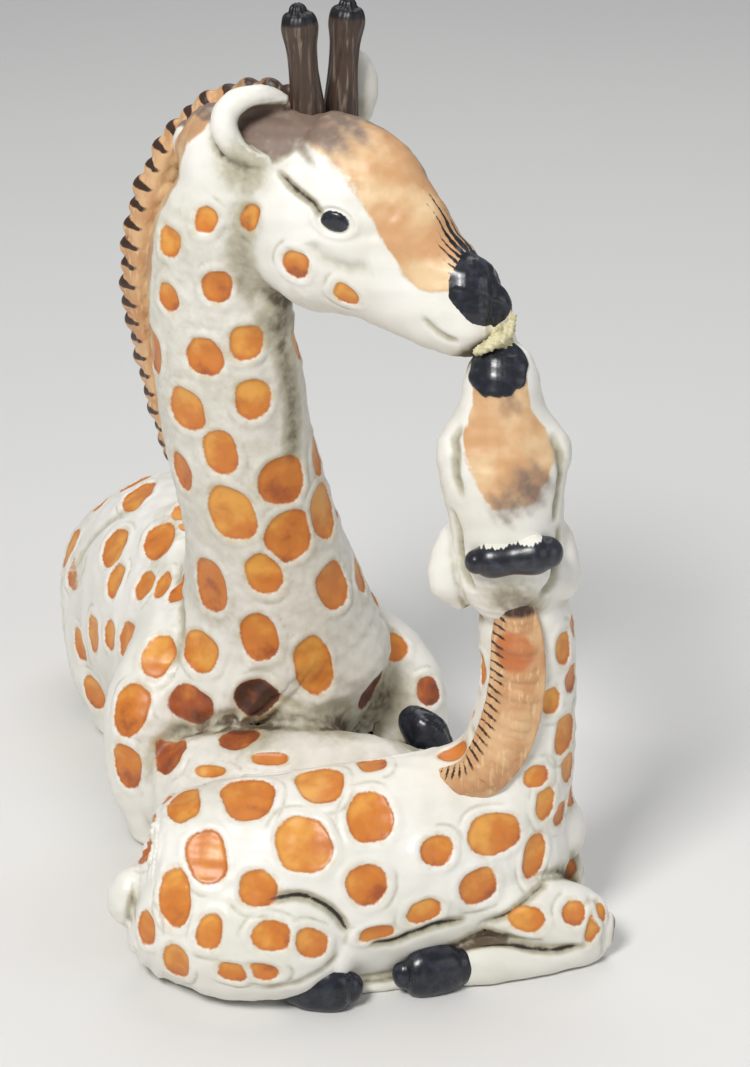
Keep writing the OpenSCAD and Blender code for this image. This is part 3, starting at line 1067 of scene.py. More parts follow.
@dataclass
class Mother:
    """The reclining mother: her forms, in millimetres, and her coat."""

    torso: Loft = limb([
        [-21, 56, 34, 10, 12], [-24, 62, 36, 27, 30], [-32, 82, 36, 34, 41], [-43, 110, 36, 36, 42],
        [-55, 137, 34, 35, 39], [-65, 158, 30, 29, 31], [-70, 172, 27, 17, 18], [-72, 179, 25, 6, 7]])
    neck: Loft = limb([
        [-26, 76, 40, 22, 26], [-26, 74, 52, 25, 30], [-27, 68, 68, 22, 25], [-30, 60, 92, 18, 20.5],
        [-35, 52, 120, 15.5, 19.5], [-37.5, 45, 146, 13.5, 19], [-39, 40, 168, 12, 17.5],
        [-38, 36, 184, 11.5, 14.5], [-36, 35, 194, 8, 9]], (-1, 0.25, 0.3))
    head: Loft = limb([
        [-44, 42, 201, 5, 6], [-41, 40, 200.5, 10, 12], [-34, 37, 197.5, 13.5, 17],
        [-26, 34, 194, 15, 20], [-19, 31.5, 190.5, 16, 23], [-11.5, 28, 188, 16.5, 24.5],
        [-4, 24, 185, 16, 24], [3.5, 19, 180.5, 13, 19.5], [11.5, 14.5, 175, 10.5, 15.5],
        [19, 9.5, 171.5, 9, 13.2], [23.5, 7.2, 171.2, 8.6, 12.2], [27, 5.4, 171.3, 6.8, 9.6],
        [28.8, 4.6, 171.5, 3.4, 6]], (0.376, -0.19, 0.9))
    right_ear: Cup = field(default_factory=lambda: Cup(
        (-28.8, 29.5, 209), (8.4, 6.2, 8.6), (-26.5, 22.5, 209), (8.0, 8.0, 7.0)))
    right_ear_rim: Loft = limb([
        [-21.5, 28, 215.5, 1.6, 1.6], [-23.5, 27, 216.5, 2.0, 2.2], [-27, 25, 217.5, 2.4, 2.6],
        [-31, 23.5, 217, 2.8, 3.0], [-34.5, 22.5, 214.5, 3.2, 3.3], [-35.4, 22, 210.5, 3.3, 3.4],
        [-33.4, 21.5, 206.3, 3.0, 3.0], [-30, 20.5, 203.8, 2.4, 2.4], [-26.5, 19.8, 202.5, 1.6, 1.6]],
        (0, -1, 0))
    left_ear: Loft = limb([
        [-10, 41, 203, 4, 4], [-6, 46, 207, 5, 4], [-4, 47, 213, 5, 4], [-4, 47, 219, 3.5, 3],
        [-5, 47, 222, 1.5, 1.5]], (0.2, -0.9, 0.3))
    tail: Loft = limb([
        [-68, 172, 44, 4, 4], [-71, 177, 38, 4, 4], [-69, 181, 28, 4, 4], [-62, 182, 16, 4, 4],
        [-52, 180, 8, 4.5, 5], [-44, 176, 6, 4.5, 5.5], [-38, 172, 5, 2, 2.5]])
    lap: Loft = limb([
        [-58, 57, 15, 8, 9], [-46, 46, 18, 13, 18], [-22, 40, 20, 17, 20], [0, 44, 18, 15, 18],
        [12, 58, 15, 8, 10]])
    right_foreleg: Loft = limb([
        [-46, 80, 56, 8, 8], [-53, 73, 46, 13, 15], [-58, 67, 32, 15, 18], [-59, 63, 18, 14.5, 16],
        [-57, 60, 6, 12, 12], [-56, 59, -5, 11, 11]])
    left_foreleg: Loft = limb([
        [-6, 92, 48, 8, 8], [0, 90, 40, 12, 12], [6, 87, 29, 13, 14], [8, 84, 17, 12, 13],
        [7, 81, 6, 10, 11], [6, 80, -5, 9, 10]])
    right_hind_leg: Loft = limb([
        [-64, 158, 50, 8, 8], [-75, 151, 44, 14, 14], [-79.5, 143, 32, 13, 18], [-79, 133, 18, 12, 16],
        [-75, 124, 8, 10, 12], [-72, 118, -5, 8, 8]])
    left_hind_leg: Loft = limb([
        [-44, 158, 48, 8, 8], [-30, 150, 42, 14, 14], [-20, 142, 30, 14, 18], [-15, 132, 16, 12, 15],
        [-14, 122, 7, 9, 12], [-14, 116, -5, 7, 8]])
    strip: Loft = limb([
        [-42, 34, 208, 4, 4], [-47, 36, 200, 4, 4], [-52, 38, 186, 4, 4], [-55.5, 42, 166, 3.5, 3.5],
        [-54.5, 49, 146, 3.5, 3.5], [-51, 56, 120, 3, 3], [-46, 66, 98, 2.5, 2.5]])
    vent_at: tuple[float, float] = (-45.0, 112.0)
    vent_radius: float = 9.0

    def parts(self) -> dict[str, tuple]:
        """Each part's forms, and the softness of its join to those before it."""
        return {
            "mother_torso": ([self.torso], 1.0), "mother_neck": ([self.neck], 14.0),
            "mother_head": ([self.head], 5.0), "mother_right_foreleg": ([self.right_foreleg], 7.0),
            "mother_left_foreleg": ([self.left_foreleg], 7.0),
            "mother_right_hind_leg": ([self.right_hind_leg], 7.0),
            "mother_left_hind_leg": ([self.left_hind_leg], 7.0), "mother_lap": ([self.lap], 5.0),
            "mother_tail": ([self.tail], 2.0), "mother_right_ear": ([self.right_ear, self.right_ear_rim], 1.6),
            "mother_left_ear": ([self.left_ear], 2.0)}

    def hidden(self, rng: np.random.Generator) -> Spread:
        """Forms with the patches of her back and far side, in rows."""
        return [
            (self.torso, rows([0.31, 0.42, 0.53, 0.64, 0.75, 0.86], [-20, 15, 50, 85], 12, 11, rng)
             + rows([0.68, 0.78, 0.88], [118, 150, 182], 12, 10, rng)
             + rows([0.55, 0.7], [190, 215], 10, 9, rng)),
            (self.neck, rows([0.2, 0.29, 0.38, 0.47, 0.56, 0.65, 0.74, 0.83], [125, 162, 199, 236],
                             9.5, 11, rng)),
            (self.left_hind_leg, rows([0.35, 0.55], [-40, 5, 50], 9, 9, rng)),
            (self.right_hind_leg, rows([0.35, 0.5], [110, 155, 200], 9, 9, rng))]

    def coat(self, clay: Clay, both: Clay, hidden: Spread, rng: np.random.Generator) -> Coat:
        """Lays out her patches, creases and paint.

        Args:
            clay: Her own clay.
            both: Both animals' clay.
            hidden: Forms with their patches on her far side.
            rng: Source of the small differences between patches.

        Returns:
            The coat.
        """
        coat = Coat(clay, both, rng)
        coat.press(self.neck, patches((0.91, 0, 5.5, 7), (0.84, 35, 7, 8), (0.78, -15, 8, 8.5),
            (0.74, 30, 6.5, 7.5), (0.64, 60, 9, 13), (0.66, 0, 9.5, 11), (0.68, -35, 8.5, 10), (0.58, 20, 11, 12),
            (0.6, -35, 9, 12), (0.53, -5, 9.5, 13), (0.49, 35, 7, 12), (0.48, -50, 12, 15), (0.45, -5, 12.5, 17),
            (0.41, -85, 11, 16), (0.41, -45, 12.5, 15.5), (0.37, -20, 9.5, 13), (0.32, -70, 10, 15),
            (0.34, 25, 11, 17), (0.27, 75, 6, 15), (0.28, -10, 10.5, 14), (0.22, -40, 10.5, 18),
            (0.04, -80, 10, 12, 0, 0.7)))
        coat.press(self.head, patches((0.28, -10, 8, 5), (0.44, -20, 7.5, 7), (0.58, -30, 6, 6.5, 0, 0.25, 0.2)))
        coat.press(self.torso, patches((0.39, 113, 3, 7), (0.17, 140, 11, 13), (0.07, 138, 12, 10, 0, 0.85),
            (0.15, 167, 11, 12, 0, 0.6), (0.55, 115, 11, 15, 20), (0.4, 125, 11, 15, 20), (0.49, 140, 12, 13),
            (0.6, 160, 11, 12), (0.44, 150, 10, 9), (0.36, 142, 9, 8), (0.32, 136, 8, 7), (0.48, 177, 11, 9),
            (0.41, 170, 9, 8), (0.345, 165, 12, 12)))
        coat.press(self.right_foreleg, patches((0.22, 110, 9, 12), (0.38, 95, 10.5, 14), (0.55, 60, 10, 12.5)))
        coat.press(self.left_foreleg, patches((0.2, 55, 9, 8), (0.41, 82, 8, 8, 0, 0.6)))
        coat.press(self.lap, patches((0.2, 60, 10, 11, 0, 0.45), (0.38, 85, 9, 11, 0, 0.6), (0.46, 60, 4, 10),
            (0.33, 45, 3.5, 9)))
        for form, made in hidden:
            coat.press(form, made)
        # Creases and ridges: painted shade with the antiquing darkens the creases, and some are lined dark.
        coat.score([
            Groove([(-12, 10.5, 191.5), (-14, 12, 194.5), (-17, 13.5, 196.5), (-20, 15.5, 198.5), (-24, 18, 202)],
                   1.2, 1.2, 1.3, 0.7),
            Groove([(-15, 12, 191), (-12, 10, 188.5), (-7, 9, 187.5), (-2, 8, 188.5), (2, 7, 190)], 1.6, 0.5, 0.2),
            Groove([(-15, 13, 186), (-12, 12.5, 182), (-6, 11, 180), (0, 9, 181.5)], 2.4, 1.1, 0.35),
            Groove([(-29, 19, 196), (-31, 20, 189), (-33, 22, 181), (-32, 25, 174), (-29, 27, 167), (-24, 28, 162)],
                   4.5, 1.2, 0.8),
            Groove([(11, 4, 170), (14, 3, 167.5), (17, 2, 165.5), (20, 1, 164.5)], 1.2, 0.7, 0.7, 0.2),
            Groove([(-60, 49, 32), (-54, 51, 34), (-47, 50, 38), (-40, 48, 42), (-32, 46, 43)], 2.0, 1.0, 0.9, 0.3),
            Groove([(-36, 47, 50), (-25, 47, 47), (-15, 48, 42), (-7, 56, 42)], 2.0, 0.7, 0.7, 0.1),
            Groove([(-53, 84, 72), (-53, 67, 67), (-52, 60, 58), (-56, 58, 50)], 2.2, 1.1, 0.7),
            Groove([(-34, 46, 56), (-22, 46, 52), (-12, 50, 48), (-4, 58, 46)], 2.0, 0.5, 0.3),
            Groove([(-46, 33, 186), (-44, 32, 172), (-44, 34, 158), (-43, 36, 146)], 2.4, 0.6, 0.3),
            Groove([(-27, 30, 165), (-27, 31, 152), (-26, 34, 138), (-24, 38, 122)], 2.4, 0.5, 0.2),
            Groove([(-24, 32, 158), (-22, 35, 146), (-20, 38, 132), (-20, 38, 112)], 3.6, 0.4, 1.1),
            Groove([(-66, 120, 72), (-74, 126, 66), (-82, 130, 56), (-86, 132, 44)], 2.4, 0.8, 0.5)])
        # Swells with no height only lay painted shade with the antiquing: by the foreleg and hoof in the lap, under
        # the ear and along the jaw.
        coat.push([
            Swell((-9, 10, 198), 4.5, 0.9), Swell((-19, 14, 190), 6.0, 0.6), Swell((-22, 20, 172), 6.0, 0.7),
            Swell((14, 3, 171), 4.5, 0.5), Swell((-8, 12, 178), 5.0, -0.5, 0.1), Swell((-24, 45, 60), 10.0, 1.0),
            Swell((-62, 52, 40), 8.0, 0.8), Swell((-30, 22, 202), 7.0, 0.0, 0.7),
            Swell((4, 68, 34), 11.0, 0.0, 0.85), Swell((-12, 46, 37), 11.0, 0.0, 0.5),
            Swell((-32, 42, 37), 11.0, 0.0, 0.5), Swell((8, 52, 30), 10.0, 0.0, 0.6),
            Swell((-24, 33, 158), 8.0, 0.0, 0.8), Swell((-22, 36, 155), 6.0, 0.0, 0.6),
            Swell((-30, 22, 196), 5.0, -0.5, 0.4)])
        for at in ((-9.3, 10, 191.3), tuple(self.head.place(0.5, 160)[0])):
            coat.dot([Oval(at, (0.85, -0.2, -0.2), 7.0, 5.0)])
        coat.painters.append(MotherFace(self.head, self.right_ear_rim, self.strip))
        return coat


@dataclass
class Calf:
    """The calf lying in front: its forms, in millimetres, and its coat."""

    torso: Loft = limb([
        [-61, -12, 22, 6, 8], [-54.5, -11, 21, 17, 21], [-40, -9, 22, 23, 28], [-18, -6, 23, 24, 29],
        [5, -1, 24, 23, 29], [26, 5, 26, 20, 28], [40, 8, 28, 14, 20], [47, 10, 29, 7, 9]])
    neck: Loft = limb([
        [33, 7.5, 34, 13, 14], [34.5, 7, 44, 15, 17], [37, 6, 60, 13, 14], [38, 5, 76, 11.5, 12.5],
        [37, 4, 92, 11.5, 12], [35.5, 3, 104, 9, 9]], (-0.4, -1, 0.1))
    head: Loft = limb([
        [34, 4, 97, 7, 7], [33.5, 2, 101, 12, 11], [32.5, 0, 110, 13.5, 13.5],
        [31.5, -1, 122, 13.8, 13.5], [30.5, -1, 131, 15, 13], [30.3, 0, 139, 15.2, 11.5],
        [30, 1, 149, 10.3, 9.5], [30, 2, 156, 8.8, 8.5], [30, 3, 161, 6.5, 6],
        [30, 3.5, 164, 3.5, 3.5]], (0, -1, 0.2))
    right_ear: Loft = limb([
        [24, 1, 119, 3, 3], [20.5, 1, 115, 4.5, 4.5], [19, 0, 109, 5.5, 5], [19, 0, 103, 5.5, 4.5],
        [20.5, 1, 98.5, 3, 3]], (0, -1, 0))
    left_ear: Loft = limb([
        [41, 1, 119, 3, 3], [43, 1, 115, 4.5, 4.5], [44, 0, 109, 5, 5], [44, 0, 103, 5, 4.5],
        [42.5, 1, 98.5, 3, 3]], (0, -1, 0))
    tail: Loft = limb([
        [-50, 4, 38, 4, 4], [-54, 9, 30, 3.5, 3.5], [-54, 12, 20, 3, 3.5], [-50, 15, 10, 3, 4],
        [-44, 18, 5, 2.5, 4], [-40, 20, 4, 1.5, 2]])
    forearm: Loft = limb([
        [27, -8, 20, 8, 9], [39, -7, 15, 9, 10], [50, -5, 11, 8.5, 9.5], [56, -4.5, 9.5, 6, 7], [58, -4.5, 9, 3, 4]])
    cannon: Loft = limb([
        [58, -5, 6, 2.5, 3.5], [55, -5.5, 5.5, 5, 6.5], [42, -11.5, 5, 5, 6], [26, -16.5, 5, 4.5, 6],
        [18, -18, 5, 3, 4]])
    left_forearm: Loft = limb([
        [28, 14, 24, 8, 9], [38, 15, 19, 9, 11], [44, 15, 13, 7, 11], [47, 14, 6, 4.5, 8]])
    thigh: Loft = limb([
        [-50, -20, 22, 9, 14], [-38, -23, 19, 12, 18], [-26, -25, 17, 11.5, 16],
        [-16, -25, 14, 9.5, 12], [-10, -25, 12, 5, 6]])
    pad: Loft = limb([
        [-26, -17, 1, 5, 3.5], [-16, -18, 1, 6.5, 3.5], [0, -17, 1, 5.5, 3.5], [18, -14, 1, 4, 3.5]])
    vent_at: tuple[float, float] = (-20.0, -5.0)
    vent_radius: float = 5.5

    def parts(self) -> dict[str, tuple]:
        """Each part's forms, and the softness of its join to those before it."""
        return {
            "calf_torso": ([self.torso], 1.0), "calf_neck": ([self.neck], 10.0),
            "calf_head": ([self.head], 3.0), "calf_right_hind_leg": ([self.thigh], 3.5),
            "calf_right_foreleg": ([self.forearm, self.cannon], 1.5),
            "calf_left_foreleg": ([self.left_forearm], 3.0), "calf_tail": ([self.tail], 1.5),
            "calf_right_ear": ([self.right_ear], 1.5), "calf_left_ear": ([self.left_ear], 1.5),
            "calf_pad": ([self.pad], 2.0)}

    def hidden(self, rng: np.random.Generator) -> Spread:
        """Forms with the patches of its back and far side, in rows."""
        return [
            (self.torso, rows([0.15, 0.27, 0.39, 0.51, 0.63, 0.75], [122, 156, 190, 224], 11, 11, rng)
             + rows([0.9], [40, 90], 8, 7, rng)),
            (self.neck, rows([0.2, 0.34, 0.48, 0.62, 0.76], [-100, -60, -20], 7, 8.5, rng)
             + rows([0.25, 0.45, 0.65], [150, 195], 7, 8.5, rng))]

    def coat(self, clay: Clay, both: Clay, hidden: Spread, rng: np.random.Generator) -> Coat:
        """Lays out its patches, creases and paint.

        Args:
            clay: Its own clay.
            both: Both animals' clay.
            hidden: Forms with their patches on its far side.
            rng: Source of the small differences between patches.

        Returns:
            The coat.
        """
        coat = Coat(clay, both, rng)
        coat.press(self.torso, patches((0.24, 90, 15, 9), (0.35, 80, 15, 13.5), (0.46, 85, 15, 12),
            (0.55, 100, 10, 7.5), (0.06, 105, 8, 7), (0.27, 45, 13, 10.5), (0.42, 45, 14.5, 13.5),
            (0.52, 55, 13.5, 11.5), (0.61, 30, 7.5, 8.5, 0, 0.25, 0.9), (0.72, 30, 10.5, 14.5), (0.35, 25, 9, 9.5),
            (0.5, 20, 10, 10.5), (0.58, 0, 6.5, 9), (0.67, 5, 10, 10), (0.82, 10, 11.5, 7, 20), (0.51, -7, 4.5, 9),
            (0.19, 25, 14, 9), (0.1, 0, 10, 6)))
        coat.press(self.thigh, patches((0.23, 20, 9.5, 6.5), (0.5, 30, 7.5, 9.5), (0.7, 35, 7, 9.5),
            (0.12, -25, 11, 8), (0.37, -10, 6, 7.5), (0.5, -5, 5, 7.5)))
        coat.press(self.forearm, patches((0.2, 10, 7, 9), (0.42, 35, 6.5, 6.5), (0.65, 15, 7, 5),
            (0.74, 50, 5.5, 4)))
        coat.press(self.left_forearm, patches((0.64, 45, 5.5, 6)))
        coat.press(self.neck, patches((0.73, 20, 5.5, 9.5), (0.58, 40, 5, 7.5), (0.45, 15, 8.5, 10.5),
            (0.34, 50, 6.5, 6.5), (0.25, 35, 6, 9)))
        for form, made in hidden:
            coat.press(form, made)
        # Creases and ridges: painted shade with the antiquing darkens the creases, and some are lined dark.
        coat.score([
            Groove([(-6, -28, 20), (-9, -28.5, 26), (-13, -29, 30), (-19, -29, 32.5), (-28, -31, 32)],
                   1.4, 1.3, 1.2, 1.1),
            Groove([(-8, -29, 17), (-12, -32, 14), (-20, -34, 11.5), (-30, -35, 10)], 1.3, 0.6, 0.6, 0.3),
            Groove([(-2, -27, 17), (5, -25, 16.5), (14, -22, 19), (24, -18, 19)], 1.5, 1.0, 1.3, 0.9),
            Groove([(24, -18, 12), (31, -16, 11.5), (39, -16, 9.5), (47, -15, 8), (54, -11, 8)], 1.3, 1.0, 1.2, 0.9),
            Groove([(25, -16, 15), (31, -16, 18), (36, -15, 21), (41, -11, 24), (44, -7, 25)], 1.4, 1.0, 0.9, 0.6),
            Groove([(20, -6, 147), (19, -6, 143), (19, -8, 140), (19, -9, 135), (21, -11, 129)], 1.4, 1.2, 0.9, 0.2),
            Groove([(42, -6, 145), (42.5, -6.5, 140), (44, -7, 133), (43, -8, 127), (43, -9, 122)],
                   1.4, 1.2, 0.9, 0.2),
            Groove([(18, -7, 126), (19.5, -7.5, 119), (20.5, -7, 113), (22, -8, 108), (24, -9, 104)],
                   1.5, 1.7, 1.0, 0.4),
            Groove([(44, -7, 122), (44, -7, 116), (43, -8, 110), (41.5, -9, 106), (39, -10, 104)],
                   1.5, 1.7, 1.0, 0.5)])
        # The two swells with no height lay painted shade with the antiquing at the foot of the head, between the
        # ears.
        coat.push([
            Swell((17, -4, 141), 5.5, 1.3), Swell((45, -4, 140), 5.5, 1.5), Swell((17, -4, 106), 5.5, 1.2),
            Swell((45, -4, 106), 5.5, 1.4), Swell((32, -12, 105), 7.0, 0.0, 0.55),
            Swell((36, -8, 102), 5.0, 0.0, 0.8), Swell((15, -20, 40), 5.5, 0.9), Swell((-30, -30, 22), 10.0, 0.7)])
        coat.painters.append(CalfFace(self.head))
        return coat


# ---- Finishes ----

def tint(red: int, green: int, blue: int) -> Colour:
    """A display colour, 0 to 255, as a scene colour."""
    parts = [((c / 255 + 0.055) / 1.055) ** 2.4 if c > 10 else c / 255 / 12.92 for c in (red, green, blue)]
    return (*parts, 1.0)


class Net:
    """A node tree that nodes are added to in a few words."""

    def __init__(self, tree: bpy.types.NodeTree) -> None:
        """Keeps the tree."""
        self.tree = tree

    def link(self, node: bpy.types.Node, values: dict) -> None:
        """Gives a node's inputs, by name or number, their sockets or values."""
        for key, value in values.items():
            if isinstance(value, Socket):
                self.tree.links.new(value, node.inputs[key])
            else:
                node.inputs[key].default_value = value

    def add(self, kind: str, inputs: dict | None = None, **settings: object) -> bpy.types.Node:
        """Adds a node.

        Args:
            kind: The node's type name.
            inputs: Values or output sockets, by input name or number.
            settings: The node's own properties.

        Returns:
            The node.
        """
        node = self.tree.nodes.new(kind)
        for key, value in settings.items():
            setattr(node, key, value)
        self.link(node, inputs or {})
        return node

    def math(self, operation: str, *values: Value, clamp: bool = False) -> Socket:
        """Adds a Math node and gives its result."""
        return self.add("ShaderNodeMath", dict(enumerate(values)), operation=operation, use_clamp=clamp).outputs[0]

    def plus(self, first: Value, second: Value, clamp: bool = False) -> Socket:
        """The sum of two numbers."""
        return self.math("ADD", first, second, clamp=clamp)

    def minus(self, first: Value, second: Value) -> Socket:
        """One number less another."""
        return self.math("SUBTRACT", first, second)

    def times(self, first: Value, second: Value, clamp: bool = False) -> Socket:
        """The product of two numbers."""
        return self.math("MULTIPLY", first, second, clamp=clamp)

    def mix(self, share: Value, first: Value, second: Value) -> Socket:
        """Mixes two colours and gives the result."""
        return self.add("ShaderNodeMix", {0: share, 6: first, 7: second}, data_type="RGBA").outputs[2]

    def step(self, value: Socket, low: float, high: float) -> Socket:
        """Smooth step of a value from `low` to `high`."""
        node = self.add("ShaderNodeMapRange", {0: value, 1: low, 2: high}, interpolation_type="SMOOTHSTEP")
        return node.outputs[0]

    def place(self) -> Socket:
        """Object coordinates, in metres."""
        return self.add("ShaderNodeTexCoord").outputs["Object"]

    def noise(self, place: Socket, scale: float, detail: float = 3.0) -> Socket:
        """Cloudy noise round a half."""
        return self.add("ShaderNodeTexNoise", {"Vector": place, "Scale": scale, "Detail": detail}).outputs["Fac"]

    def channel(self, name: str) -> Socket:
        """A number painted on the mesh."""
        return self.add("ShaderNodeAttribute", attribute_name=name).outputs["Fac"]

    def bump(self, height: Socket, strength: float) -> Socket:
        """Normals of a relief too fine for the mesh."""
        inputs = {"Height": height, "Strength": strength, "Distance": BUMP_HEIGHT}
        return self.add("ShaderNodeBump", inputs).outputs["Normal"]


def new_group(name: str, inputs: dict[str, float], outputs: list[str]) -> tuple[Net, dict, bpy.types.Node]:
    """Starts a shader node group.

    Args:
        name: The group's name.
        inputs: Names and usual values of its number inputs.
        outputs: Names of its number outputs.

    Returns:
        The group's net, its input sockets by name, and its output node.
    """
    group = bpy.data.node_groups.new(name, "ShaderNodeTree")
    for key, value in inputs.items():
        group.interface.new_socket(key, in_out="INPUT", socket_type="NodeSocketFloat").default_value = value
    for key in outputs:
        group.interface.new_socket(key, in_out="OUTPUT", socket_type="NodeSocketFloat")
    net = Net(group)
    source = net.add("NodeGroupInput")
    return net, {key: source.outputs[key] for key in inputs}, net.add("NodeGroupOutput")


def painted_edge_group() -> bpy.types.NodeTree:
    """Builds the group that turns a distance into a brushed edge."""
    net, given, out = new_group("painted_edge", {"Distance": 1.0, "Wobble": 0.4, "Softness": 0.25}, ["Mask"])
    place = net.place()
    shift = net.times(net.minus(net.noise(place, 900.0, 4.0), 0.5), given["Wobble"])
    moved = net.plus(given["Distance"], shift)
    share = net.math("DIVIDE", moved, given["Softness"])
    net.link(out, {"Mask": net.step(share, 1.0, -1.0)})
    return net.tree


def glaze_surface_group() -> bpy.types.NodeTree:
    """Builds the group for the unevenness of a fired glaze."""
    net, given, out = new_group("glaze_surface", {"Waviness": 1.0, "Pitting": 1.0}, ["Height", "Dullness"])
    place = net.place()
    broad = net.times(net.noise(place, 220.0, 2.0), given["Waviness"])
    pits = net.add("ShaderNodeTexVoronoi", {"Vector": place, "Scale": 700.0}, feature="F1").outputs["Distance"]
    pits = net.times(net.step(pits, 0.0, 0.22), net.times(given["Pitting"], 0.25))
    net.link(out, {"Height": net.plus(broad, pits), "Dullness": net.minus(net.noise(place, 90.0, 4.0), 0.5)})
    return net.tree


class Groups:
    """The shader node groups, built once."""

    def __init__(self) -> None:
        """Builds the groups."""
        self.edge = painted_edge_group()
        self.surface = glaze_surface_group()

    def masked(self, net: Net, distance: Socket, wobble: float, softness: float) -> Socket:
        """A brushed-edge mask for a distance."""
        inputs = {"Distance": distance, "Wobble": wobble, "Softness": softness}
        return net.add("ShaderNodeGroup", inputs, node_tree=self.edge).outputs["Mask"]

    def rough(self, net: Net, waviness: float, pitting: float) -> bpy.types.Node:
        """The unevenness of a glaze."""
        return net.add("ShaderNodeGroup", {"Waviness": waviness, "Pitting": pitting}, node_tree=self.surface)


def new_material(name: str) -> tuple[bpy.types.Material, Net, bpy.types.Node]:
    """Starts a material.

    Args:
        name: The material's name.

    Returns:
        The material, its net and its Principled shader.
    """
    material = bpy.data.materials.new(name)
    material.use_nodes = True
    return material, Net(material.node_tree), material.node_tree.nodes["Principled BSDF"]


@dataclass(frozen=True)
class PaintedSkin:
    """Satin off-white glaze with caramel patches, tan faces, black paint, dark antiquing and painted shade."""

    cream: Colour = tint(238, 235, 227)
    cool: Colour = tint(224, 221, 209)
    caramel: Colour = tint(206, 122, 46)
    honey: Colour = tint(228, 162, 72)
    rust: Colour = tint(160, 80, 38)
    umber: Colour = tint(72, 46, 34)
    rim: Colour = tint(214, 186, 118)
    tan: Colour = tint(204, 152, 100)
    pale_tan: Colour = tint(228, 198, 152)
    dusk: Colour = tint(124, 104, 92)
    # This colour and the one after it paint the shade in recesses, creases and between the animals, with the
    # antiquing: pale first, then deep.
    pale_shade_and_antiquing: Colour = tint(170, 164, 136)
    wash: Colour = tint(92, 76, 58)
    line: Colour = tint(40, 32, 26)
    black: Colour = tint(26, 28, 34)
    grey: Colour = tint(48, 52, 64)

    def material(self, groups: Groups) -> bpy.types.Material:
        """Builds the material.

        Args:
            groups: The shared node groups.

        Returns:
            The material.
        """
        material, net, shader = new_material("painted_skin")
        place = net.place()
        cloud = net.noise(place, 45.0, 4.0)
        fine = net.noise(place, 420.0, 5.0)
        grain = net.noise(place, 1500.0, 2.0)
        spot, tone, wash = net.channel("spot"), net.channel("tone"), net.channel("wash")
        colour = net.mix(net.step(cloud, 0.35, 0.7), self.cream, self.cool)
        # Painted shade with the antiquing: recesses, creases and the lee of the other animal go grey-green, then
        # deep brown, patches included.
        shade_and_antiquing_amount = net.times(wash, net.plus(0.35, net.times(fine, 1.3)), clamp=True)
        colour = net.mix(net.times(net.step(shade_and_antiquing_amount, 0.03, 0.5), 0.8), colour, self.pale_shade_and_antiquing)
        colour = net.mix(net.step(shade_and_antiquing_amount, 0.4, 1.1), colour, self.wash)
        halo = net.times(net.step(net.math("ABSOLUTE", net.minus(spot, 0.5)), 1.0, 0.2),
                        net.step(fine, 0.4, 0.7))
        colour = net.mix(net.times(halo, 0.35), colour, self.rim)
        inside = groups.masked(net, spot, 0.9, 0.28)
        shade = net.plus(tone, net.times(net.minus(net.noise(place, 170.0, 4.0), 0.5), 0.9))
        orange = net.mix(net.step(shade, 0.0, 0.35), self.honey, self.caramel)
        orange = net.mix(net.step(shade, 0.35, 0.62), orange, self.rust)
        orange = net.mix(net.step(shade, 0.6, 0.9), orange, self.umber)
        orange = net.mix(net.times(net.step(spot, -1.3, 0.0), 0.35), orange, self.rust)
        orange = net.mix(net.times(net.step(shade_and_antiquing_amount, 0.35, 1.0), 0.7), orange, self.umber)
        colour = net.mix(inside, colour, orange)
        face = groups.masked(net, net.channel("tan"), 1.0, 0.5)
        blaze = net.mix(net.step(net.noise(place, 85.0, 5.0), 0.35, 0.68), self.tan, self.pale_tan)
        colour = net.mix(net.times(face, 0.95), colour, blaze)
        dusk = net.times(net.channel("dusk"), net.plus(0.45, fine), clamp=True)
        colour = net.mix(net.step(dusk, 0.15, 1.05), colour, self.dusk)
        line = net.times(net.channel("line"), net.plus(0.3, net.times(fine, 1.4)), clamp=True)
        colour = net.mix(net.step(line, 0.3, 0.8), colour, self.line)
        black = groups.masked(net, net.channel("ink"), 0.7, 0.16)
        ink = net.mix(net.step(fine, 0.45, 0.75), self.black, self.grey)
        colour = net.mix(black, colour, ink)
        surface = groups.rough(net, 0.5, 0.7)
        painted = net.math("MAXIMUM", net.times(inside, 0.2), black)
        base = net.minus(net.plus(0.42, net.times(shade_and_antiquing_amount, 0.2)), net.times(painted, 0.14))
        height = net.plus(surface.outputs["Height"], net.times(grain, 0.12))
        height = net.plus(height, net.times(net.step(spot, -0.35, 0.35), 0.7))
        net.link(shader, {
            "Base Color": colour,
            "Roughness": net.plus(net.times(surface.outputs["Dullness"], 0.25), base, clamp=True),
            "Coat Weight": net.times(painted, net.plus(0.1, net.times(fine, 0.3))),
            "Coat Roughness": 0.28, "IOR": 1.5, "Normal": net.bump(height, 0.35)})
        return material


